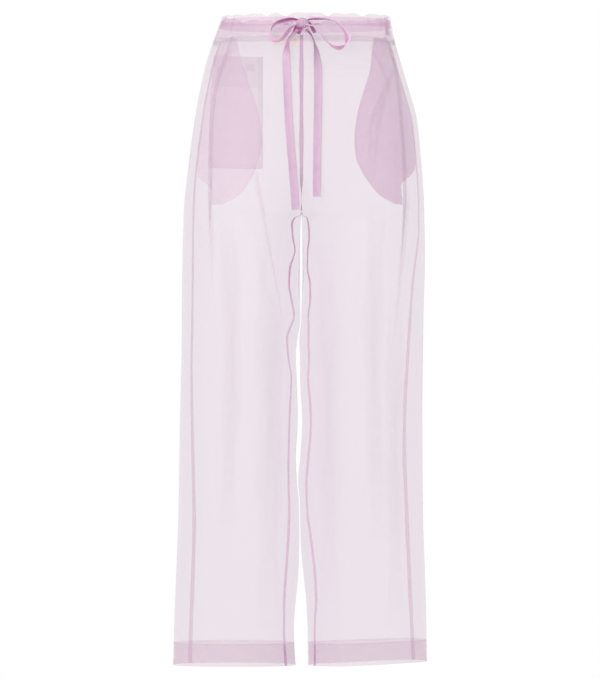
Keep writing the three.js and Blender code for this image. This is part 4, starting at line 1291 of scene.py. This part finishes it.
# The loops' satin is painted paler than the rest of the ribbon: painted light that makes up for the
# shade on their insides.
paler_loop_satin = satin_ribbon("silk_satin_ribbon_of_loops_painted_paler", "#e6c3de", "#dbb2d1", 0.84)
hidden_satin = satin_ribbon("silk_satin_ribbon_in_tunnel", "#bf8ab4", "#b47eaa", 0.29)
print("satin made")

# %% Routes of the ribbon
RIBBON_WIDTH = 13 * MM

# Each point of a route, and the direction that the ribbon's width points in there.
LOOP_RIGHT = [
    ((-9.2, -107, 5.6), (0, 0.8, -0.55)),
    ((-18, -107.6, 6), (0, 0.85, -0.5)),
    ((-29, -107, 4), (0, 0.88, -0.45)),
    ((-39, -106, 1.2), (0.1, 0.92, -0.36)),
    ((-46, -106, -4), (0.2, 1, -0.2)),
    ((-49.4, -107, -12), (0.1, 1, 0)),
    ((-49, -108, -20.5), (-0.2, 1, -0.2)),
    ((-44.5, -109, -27), (-0.2, 1, -0.3)),
    ((-37, -109.6, -28), (0, 1, -0.4)),
    ((-29.3, -109.8, -23.5), (0.3, 1, -0.4)),
    ((-23, -109.6, -15.5), (0.5, 1, -0.3)),
    ((-16.6, -109.6, -7.4), (0.4, 1, -0.2)),
    ((-9.2, -109.4, -3.4), (0.1, 1, 0)),
]
LOOP_LEFT = [
    ((12, -107, 6), (0, 0.85, -0.5)),
    ((19, -107.6, 7), (0, 0.92, -0.38)),
    ((30, -107, 7), (0, 0.96, -0.26)),
    ((41, -106, 6.2), (0, 1, -0.12)),
    ((53, -105.6, 2.6), (-0.1, 1, 0)),
    ((62.5, -105.4, -4.8), (-0.3, 1, 0.2)),
    ((70, -106, -14), (-0.6, 1, 0.1)),
    ((73.4, -107, -24), (-0.8, 1, 0)),
    ((69.5, -108, -33), (-0.6, 1, -0.5)),
    ((61, -108.6, -38), (-0.3, 1, -0.5)),
    ((51, -108.8, -36.4), (0, 1, -0.2)),
    ((41.6, -108.8, -29.4), (0, 1, 0)),
    ((34, -109, -20), (0, 1, 0)),
    ((27, -109.2, -10.6), (0, 1, 0)),
    ((19.5, -109.4, -4.6), (0, 1, 0)),
    ((12, -109.4, -2.6), (0, 1, 0)),
]
TAIL_RIGHT = [
    ((-5, -105.6, -9.6), (1, 0, 0.2)),
    ((-11, -106.6, -15.5), (0.7, -0.7, 0)),
    ((-17, -108.2, -22), (0.4, -0.9, 0)),
    ((-20.8, -110, -30), (0.35, -0.9, 0)),
    ((-22.6, -111.6, -39), (0.6, -0.8, 0)),
    ((-23.6, -112.4, -50), (0.9, -0.4, 0)),
    ((-23.8, -113, -65), (1, -0.1, 0)),
    ((-22.8, -114.8, -90), (1, 0, 0)),
    ((-21.6, -117, -120), (1, 0, 0)),
    ((-19.8, -119.2, -155), (1, 0, 0)),
    ((-17, -121, -192), (1, 0, 0)),
    ((-14, -121.6, -228), (1, 0, 0)),
    ((-11.4, -121.6, -262), (1, 0, 0.05)),
    ((-9.2, -121.2, -296), (1, 0, 0.1)),
]
TAIL_LEFT = [
    ((7, -105.6, -9.6), (1, 0, -0.2)),
    ((12, -106.8, -15.5), (0.6, 0.8, 0)),
    ((16.4, -108.4, -22), (0.3, 1, 0)),
    ((19.4, -110, -30), (0.25, 1, 0)),
    ((22, -111.4, -40), (0.5, 0.9, 0)),
    ((24, -112.2, -52), (0.7, 0.6, 0)),
    ((25.6, -113.2, -68), (0.9, 0.3, 0)),
    ((26.2, -115.2, -94), (1, 0.1, 0)),
    ((26.2, -117.6, -126), (1, 0, 0)),
    ((25.6, -119.6, -162), (1, 0, 0)),
    ((25, -121, -198), (1, 0, 0)),
    ((24.6, -121.6, -236), (1, 0, 0)),
    ((24.4, -121.4, -275.5), (1, 0, 0)),
]


def smooth_route(route, step):
    """Points close together on a smooth curve through the route, and the width's way at each."""
    points = MM * np.array([row[0] for row in route], float)
    across = unit(np.array([row[1] for row in route], float))
    p = np.vstack([2 * points[0] - points[1], points, 2 * points[-1] - points[-2]])
    knots = np.r_[0, np.cumsum(np.linalg.norm(np.diff(p, axis=0), axis=1) ** 0.5)]
    line, ways = [], []
    for i in range(1, len(p) - 2):
        k = knots[i - 1:i + 3]
        count = max(2, round(np.linalg.norm(p[i + 1] - p[i]) / step))
        for share in np.arange(count) / count:
            t = mix(k[1], k[2], share)

            def between(a, b, low, high):
                return (a * (k[high] - t) + b * (t - k[low])) / (k[high] - k[low])

            first = between(p[i - 1], p[i], 0, 1)
            second = between(p[i], p[i + 1], 1, 2)
            third = between(p[i + 1], p[i + 2], 2, 3)
            line.append(between(between(first, second, 0, 2), between(second, third, 1, 3), 1, 2))
            eased = share * share * (3 - 2 * share)
            ways.append(mix(across[i - 1], across[i], eased))
    line.append(points[-1])
    ways.append(across[-1])
    return np.array(line), np.array(ways)


# %% Ribbons as thin closed bands
RIBBON_THICK = 0.45 * MM
SELVEDGE = 0.75 * MM  # thickness of the woven edge
ACROSS_POINTS = 13
ROUTE_STEP = 2 * MM
CURL = 0.9 * MM
PINCHED, PINCH_REACH = 0.42, 24 * MM  # how narrow the knot crushes a ribbon, and how far along
TURNED_PROUD = 0.35 * MM  # a tail's turned end lies this far above its face


def end_strips(rows, columns):
    """Faces that close the two ends of a band, between its top and its underside."""
    strips = []
    for start, way in ((0, -1), ((rows - 1) * columns, 1)):
        for j in range(ACROSS_POINTS - 1):
            corners = [start + j, start + j + 1, start + columns - 2 - j, start + columns - 1 - j]
            strips.append(corners[::way])
    return strips


def ribbon_band(name, route, shade, rim=0, pinch=(0, 0), ripple=0.5 * MM, satin=ribbon_satin):
    """A ribbon that follows a route, hollow across its width, with a thicker woven edge.

    shade lists how far along and how much painted shade deepens its colour, rim is the edge that the
    painted shade leaves pale as a painted lit edge, and pinch says which ends are crushed narrow by
    the knot.
    """
    line, ways = smooth_route(route, ROUTE_STEP)
    tangent = unit(np.gradient(line, axis=0))
    ways = unit(ways - tangent * (ways * tangent).sum(axis=1, keepdims=True))
    face = np.cross(tangent, ways)[:, None, :]
    length = lengths_along(line)
    across = np.linspace(-1, 1, ACROSS_POINTS)
    thick = mix(RIBBON_THICK, SELVEDGE, smooth(0.86, 0.96, np.abs(across))) / 2
    wave = ripple * np.sin(length / (17 * MM) + len(name))[:, None] * across[None, :] ** 3
    lift = CURL * (across ** 2 - 0.4)[None, :] + wave
    narrow = (pinch[0] * smooth(PINCH_REACH, 0, length)
              + pinch[1] * smooth(length[-1] - PINCH_REACH, length[-1], length))
    half = RIBBON_WIDTH / 2 * mix(1, PINCHED, np.clip(narrow, 0, 1))
    place = line[:, None, :] + ways[:, None, :] * (half[:, None] * across[None, :])[:, :, None]
    top = place + face * (lift + thick)[:, :, None]
    under = place + face * (lift - thick)[:, :, None]
    ring = np.concatenate([top, under[:, ::-1]], axis=1)
    rows, columns = ring.shape[:2]
    sides = grid_faces(rows, columns, closed=True).tolist()
    around = np.r_[across, across[::-1]]
    uv = np.stack(np.broadcast_arrays((around * RIBBON_WIDTH / 2)[None, :], length[:, None]), axis=2)
    piece = make_mesh(name, ring.reshape(-1, 3), sides + end_strips(rows, columns),
                      uv.reshape(-1, 2))
    for i in range(len(sides), len(piece.data.polygons)):
        piece.data.polygons[i].use_smooth = False
    depth = np.interp(length / MM, [row[0] for row in shade], [row[1] for row in shade])
    set_painted_shade(piece, depth[:, None] * (1 - smooth(0.25, 0.8, rim * around))[None, :])
    dress(piece, satin)
    return piece, line, top + face * TURNED_PROUD, length


# How far along each ribbon, in millimetres, and how much painted shade deepens its colour there.
PAINTED_SHADE_ALONG_RIBBONS = {
    "bow_loop_right": ((0, 1), (14, 0.95), (32, 0.75), (44, 0.15), (60, 0.14), (80, 0.04),
                       (100, 0.25), (124, 0.6)),
    "bow_loop_left": ((0, 1), (14, 0.95), (28, 0.6), (42, 0.1), (70, 0.2), (84, 0.5),
                      (108, 0.3), (124, 0.06), (150, 0.06), (172, 0.4)),
    "tail_right": ((0, 0.5), (12, 0.12), (24, 0.1), (32, 0.42), (38, 0.36), (50, 0.02),
                   (200, 0.04), (300, 0.08)),
    "tail_left": ((0, 0.6), (18, 0.2), (40, 0.02), (90, 0.06), (160, 0.06), (280, 0.04)),
}
# Each loop's edge that the painted shade leaves pale, as a painted lit edge.
PAINTED_LIT_RIMS = {"bow_loop_right": 1, "bow_loop_left": -1}
TURN_UP = 7 * MM


def turned_end(name, face_points, length):
    """The end of a tail, turned up; its stitching is not drawn."""
    first = int(np.searchsorted(length, length[-1] - TURN_UP))
    return cloth_sheet(f"turned_end_{name}", face_points[first:], ribbon_satin)


# Below the knot the ends that come out of the slits cross over each other, darkened with painted
# shade.
CROSSING = {
    "right": [((0, -103.6, 1), (1, 0, 0)), ((-3, -104.2, -5), (1, 0, 0)),
              ((-6, -104.6, -10.5), (1, 0, 0.05)), ((-8, -104.8, -15.6), (1, 0, 0.1))],
    "left": [((11, -103.6, 2), (0.6, 0.6, 0.3)), ((14, -104.2, -3), (0.6, 0.7, 0.3)),
             ((17.4, -104.6, -9), (0.5, 0.8, 0.3)), ((20.6, -104.8, -15), (0.3, 0.9, 0.2))],
}
# The loops run on into the knot: a point before each one's start, and a point after its end.
ROOTS = {
    "bow_loop_right": [((-4.2, -105.4, 3.4), (0, 0.5, -0.8)), ((-4.2, -107.4, -1.6), (0.1, 1, 0))],
    "bow_loop_left": [((7.2, -105.4, 3.4), (0, 0.5, -0.8)), ((7.2, -107.4, -1.2), (0, 1, 0))],
}
for name, route in (("bow_loop_right", LOOP_RIGHT), ("bow_loop_left", LOOP_LEFT),
                    ("tail_right", TAIL_RIGHT), ("tail_left", TAIL_LEFT)):
    is_tail = name.startswith("tail")
    if not is_tail:
        route = ROOTS[name][:1] + route + ROOTS[name][1:]
    piece, line, face_points, length = ribbon_band(
        f"ribbon_{name}", route, PAINTED_SHADE_ALONG_RIBBONS[name], PAINTED_LIT_RIMS.get(name, 0),
        (1, 0) if is_tail else (1, 1), satin=ribbon_satin if is_tail else paler_loop_satin)
    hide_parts(name)
    on_it = []
    if is_tail:
        side = name.split("_")[1]
        # Painted shade on the crossing ends: the right one is painted fully deep, the left one a
        # little over half.
        deep, pinch = (1, (0, 0)) if side == "right" else (0.55, (1, 0))
        shade = ((0, deep), (14, 0.95 * deep), (20, 0.8 * deep))
        on_it = [turned_end(name, face_points, length),
                 ribbon_band(f"ribbon_crossing_{side}", CROSSING[side], shade, 0, pinch, 0)[0]]

# %% [markdown]
# ## Knot and hidden run of the drawstring
#
# The knot is a turn of the same ribbon pulled tight over the roots of the loops. Pulling crushes
# its width into fine upright pleats, so its form is a squat barrel with ridges that run over it.
# The rest of the ribbon runs round the waist inside the tunnel, and comes out of two slits.

# %% The knot
KNOT_PLACE = np.array([1.5, -104.4, 0.2]) * MM
KNOT_WIDE, KNOT_DEEP, KNOT_HIGH = 20 * MM, 11.6 * MM, 16.4 * MM
# In thousandths, how far across the knot's width, how big it is there, and how far it is lifted.
KNOT_SWELL = table("place size lift", (-1000, 560, -300), (-860, 760, -200), (-450, 940, 200),
                   (0, 1040, 400), (350, 960, 100), (860, 700, -300), (1000, 480, -500))
KNOT_PLEATS = 5
KNOT_ROUND, KNOT_ALONG = 72, 61


def knot_form():
    """Points and faces of the knot, rings that follow one another across its width."""
    along = np.linspace(-1, 1, KNOT_ALONG)
    angle = np.linspace(0, 2 * np.pi, KNOT_ROUND, endpoint=False)
    swell = np.interp(along, KNOT_SWELL["place"], KNOT_SWELL["size"])
    pleats = np.sin(along * np.pi * KNOT_PLEATS + 0.9 * np.sin(3 * along) + 0.4)[:, None]
    low = 0.45 + 0.55 * smooth(0.3, -0.9, np.sin(angle))[None, :]
    size = swell[:, None] * (1 + 0.08 * pleats * (1 - along ** 4)[:, None] * low)
    pull = MM * np.interp(along, KNOT_SWELL["place"], KNOT_SWELL["lift"])[:, None]
    x = KNOT_PLACE[0] + np.broadcast_to(along[:, None] * KNOT_WIDE / 2, size.shape)
    x = x + 0.5 * MM * np.sin(angle)[None, :] * np.sin(4 * along)[:, None]
    y = KNOT_PLACE[1] + size * KNOT_DEEP / 2 * np.sign(np.cos(angle)) * np.abs(np.cos(angle)) ** 0.8
    z = KNOT_PLACE[2] + size * KNOT_HIGH / 2 * np.sign(np.sin(angle)) * np.abs(np.sin(angle)) ** 0.8
    ring = np.stack([x, y, z + pull], axis=2)
    near = list(range(KNOT_ROUND))[::-1]
    far = list(range((KNOT_ALONG - 1) * KNOT_ROUND, KNOT_ALONG * KNOT_ROUND))
    return ring.reshape(-1, 3), grid_faces(KNOT_ALONG, KNOT_ROUND, closed=True).tolist() + [near, far]


points, faces = knot_form()
knot = make_mesh("ribbon_knot", points, faces, points[:, [0, 2]])
# Painted shade on the knot: its colour deepens in the creases between the pleats and on its
# underside.
ridges = np.sin(KNOT_PLEATS * np.pi * points[:, 0] / KNOT_WIDE * 2)
creases = 0.12 + 0.5 * smooth(0.9, -0.6, ridges)
under = smooth(-0.1, -1.0, (points[:, 2] - KNOT_PLACE[2]) / (KNOT_HIGH / 2))
set_painted_shade(knot, 0.17 + 0.55 * creases * under)
dress(knot, ribbon_satin)
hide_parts("bow_knot")

# %% The ribbon in its tunnel
RIBBON_BEHIND = 2.3 * MM
# Each end comes out of its slit to the knot: how far from the centre, and how far behind the face.
LEAD = [(12, -3.2), (14, -2.9), (16, -2.6), (19, -1.5), (22.5, 0.9), (25.6, 2.2)]
TUNNEL_POINTS = 90


def tunnel_ribbon():
    """The run in the casing, from the knot through one slit, round the back and out of the other."""
    def lead(side):
        shares = waist_shares(side, "front", [x * MM for x, _ in LEAD], RIBBON_Z)
        return [(side, "front", share, behind * MM) for share, (_, behind) in zip(shares, LEAD)]

    def half(side, part, first):
        return [(side, part, share, RIBBON_BEHIND) for share in np.linspace(first, 1, TUNNEL_POINTS)]

    def from_slit(side):
        far_end = [SLIT_NEAR + SLIT_LONG]
        return half(side, "front", waist_shares(side, "front", far_end, RIBBON_Z)[0])

    run = (lead("left") + from_slit("left") + half("left", "back", 0)
           + half("right", "back", 0)[::-1] + from_slit("right")[::-1] + lead("right")[::-1])
    heights = RIBBON_Z + RIBBON_WIDTH * np.linspace(-0.5, 0.5, 9)
    columns = []
    for side, part, share, behind in run:
        slack = 0.35 * MM * np.sin(heights / (3 * MM) + 40 * share)
        shares = np.full(len(heights), share)
        columns.append(waist_points(side, part, shares, heights, behind + slack))
    grid = np.array(columns).transpose(1, 0, 2)[::-1]
    piece = cloth_sheet("drawstring_run", grid, hidden_satin)
    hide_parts("drawstring")
    return piece


drawstring = tunnel_ribbon()

# %% [markdown]
# ## Stitching
#
# The rows of stitches that hold the casing, the tunnel, the hems and the patch are sewn in silk of
# the same colour, a little deeper than one layer of the cloth. Real stitches are 2.4 mm long and
# 0.15 mm thick. These are drawn 0.3 mm thick, so that they aren't lost. Each is a small bead that
# tapers at both ends, and all the stitches of a row are one piece.

# %% Sew the rows
STITCH, STITCH_PITCH, THREAD = 2.4 * MM, 3.1 * MM, 0.3 * MM
BEAD_FACES = np.array([(0, 3, 2), (0, 4, 3), (0, 5, 4), (0, 2, 5),
                       (1, 2, 3), (1, 3, 4), (1, 4, 5), (1, 5, 2)])


def silk_thread():
    material, tree = new_material("silk_thread")
    place = add_node(tree, "ShaderNodeTexCoord").outputs["Object"]
    twist = add_node(tree, "ShaderNodeTexNoise", inputs={"Vector": place, "Scale": 900.0})
    colour = colour_mix(tree, twist.outputs["Fac"], linear("#a3709a"), linear("#b98ab0"))
    surface(tree, {"Base Color": colour, "Roughness": 0.6, "Alpha": 0.5})
    return material


thread = silk_thread()


def stitches(name, rows):
    """Stitches along lines of points, where each line comes with the way out of the cloth."""
    beads = []
    for line, out in rows:
        length = lengths_along(line)
        starts = np.arange(STITCH_PITCH / 2, length[-1] - STITCH, STITCH_PITCH)
        first = read_along(starts, length, line)
        last = read_along(starts + STITCH, length, line)
        up = read_along(starts + STITCH / 2, length, out)
        beside = unit(np.cross(last - first, up))
        middle, half = (first + last) / 2, THREAD / 2
        beads.append(np.stack([first, last, middle + up * half, middle + beside * half,
                               middle - up * half, middle - beside * half], axis=1))
    beads = np.concatenate(beads)
    faces = (BEAD_FACES[None] + 6 * np.arange(len(beads))[:, None, None]).reshape(-1, 3)
    piece = make_mesh(name, beads.reshape(-1, 3), faces.tolist())
    dress(piece, thread)
    return piece


def sewn_row(points_at, behind):
    """A line of points at one depth behind the cloth, with the way out of the cloth at each."""
    line = points_at(behind)
    return line, unit(points_at(behind - 1 * MM) - line)


def row_round_waist(z, behind):
    shares = np.linspace(0.01, 0.99, 160)
    return [sewn_row(lambda deep: waist_points(side, part, shares, z, deep), behind)
            for side, part in waist_forms]


def row_round_leg(side, z, behind):
    rows = []
    for part in ("front", "back"):
        form = Form(side, part, np.linspace(z + 2 * MM, z - 2 * MM, 3))
        distance = np.linspace(1 * MM, form.total[1] - 1 * MM, 200)
        rows.append(sewn_row(lambda deep: lay(form, 1, distance, deep), behind))
    return rows


def rows_on_patch(edge=1.6 * MM, count=60):
    """Down both sides of the patch, across the facing's edge and along the patch's foot."""
    form = Form("right", "back", np.linspace(PATCH_TOP, PATCH_BOTTOM, count))
    starts = [form.distance_at_x(row, PATCH_NEAR) for row in range(count)]
    behind = -PATCH_LIFT - 0.3 * MM
    rows = [sewn_row(lambda deep: np.array([
                lay(form, row, np.array([start - inside]), deep)[0]
                for row, start in enumerate(starts)]), behind)
            for inside in (edge, PATCH_WIDTH - edge)]
    for row in (int(round(count * FACING_DEEP / (PATCH_TOP - PATCH_BOTTOM))), count - 1):
        distance = starts[row] - np.linspace(edge, PATCH_WIDTH - edge, count)
        rows.append(sewn_row(lambda deep: lay(form, row, distance, deep), behind))
    return rows


casing_stitches = [
    stitches("stitches_casing", row_round_waist(CASING_BOTTOM + 1.8 * MM, 0.1 * MM)),
    stitches("stitches_tunnel", row_round_waist(TUNNEL_FLOOR, 0.1 * MM)),
]
hem_stitches = {side: stitches(f"stitches_hem_{side}",
                               row_round_leg(side, HEM_TOP - 1.8 * MM, FACE - 0.2 * MM))
                for side in SIDES}
patch_stitches = stitches("stitches_patch", rows_on_patch())

# %% [markdown]
# ## Floor, light and colour
#
# The photograph has a plain white ground and no shadow, so the light is a white surround with one
# large soft lamp above and to the left, and the floor is well below the hems.

# %% Stage and light
MIDDLE = np.array([0, 0, -0.5])


def stage_floor():
    size, height = 4.0, -1.3
    corners = np.array([[x, y, height] for x, y in
                        ((-size, -size), (size, -size), (size, size), (-size, size))])
    floor = make_mesh("floor", corners, [[0, 1, 2, 3]])
    paint, tree = new_material("matt_white_paint")
    surface(tree, {"Base Color": linear("#f4f3f1"), "Roughness": 0.9})
    floor.data.materials.append(paint)


def soft_lamp(name, place, size, power):
    lamp = bpy.data.objects.new(name, bpy.data.lights.new(name, "AREA"))
    lamp.data.shape = "SQUARE"
    lamp.data.size = size
    lamp.data.energy = power
    lamp.location = place
    towards = MIDDLE - np.array(place)
    lamp.rotation_euler = (math.acos(-towards[2] / np.linalg.norm(towards)), 0,
                           math.atan2(towards[1], towards[0]) - math.pi / 2)
    bpy.context.scene.collection.objects.link(lamp)


def white_surround(for_light):
    """A white world that the camera sees as white, and that lights the cloth more softly."""
    world = bpy.data.worlds.new("surround")
    bpy.context.scene.world = world
    world.use_nodes = True
    tree = world.node_tree
    tree.nodes.clear()
    path = add_node(tree, "ShaderNodeLightPath")
    strength = add_node(tree, "ShaderNodeMapRange", inputs={
        "Value": path.outputs["Is Camera Ray"], "To Min": for_light, "To Max": 1.0})
    light = add_node(tree, "ShaderNodeBackground", inputs={
        "Color": (1, 1, 1, 1), "Strength": strength.outputs["Result"]})
    add_node(tree, "ShaderNodeOutputWorld", inputs={"Surface": light.outputs["Background"]})


stage_floor()
soft_lamp("key_lamp", (-1.9, -3.4, 1.5), 2.0, 105)
white_surround(0.95)
bpy.context.scene.view_settings.view_transform = "Standard"
bpy.context.scene.cycles.transparent_max_bounces = 48
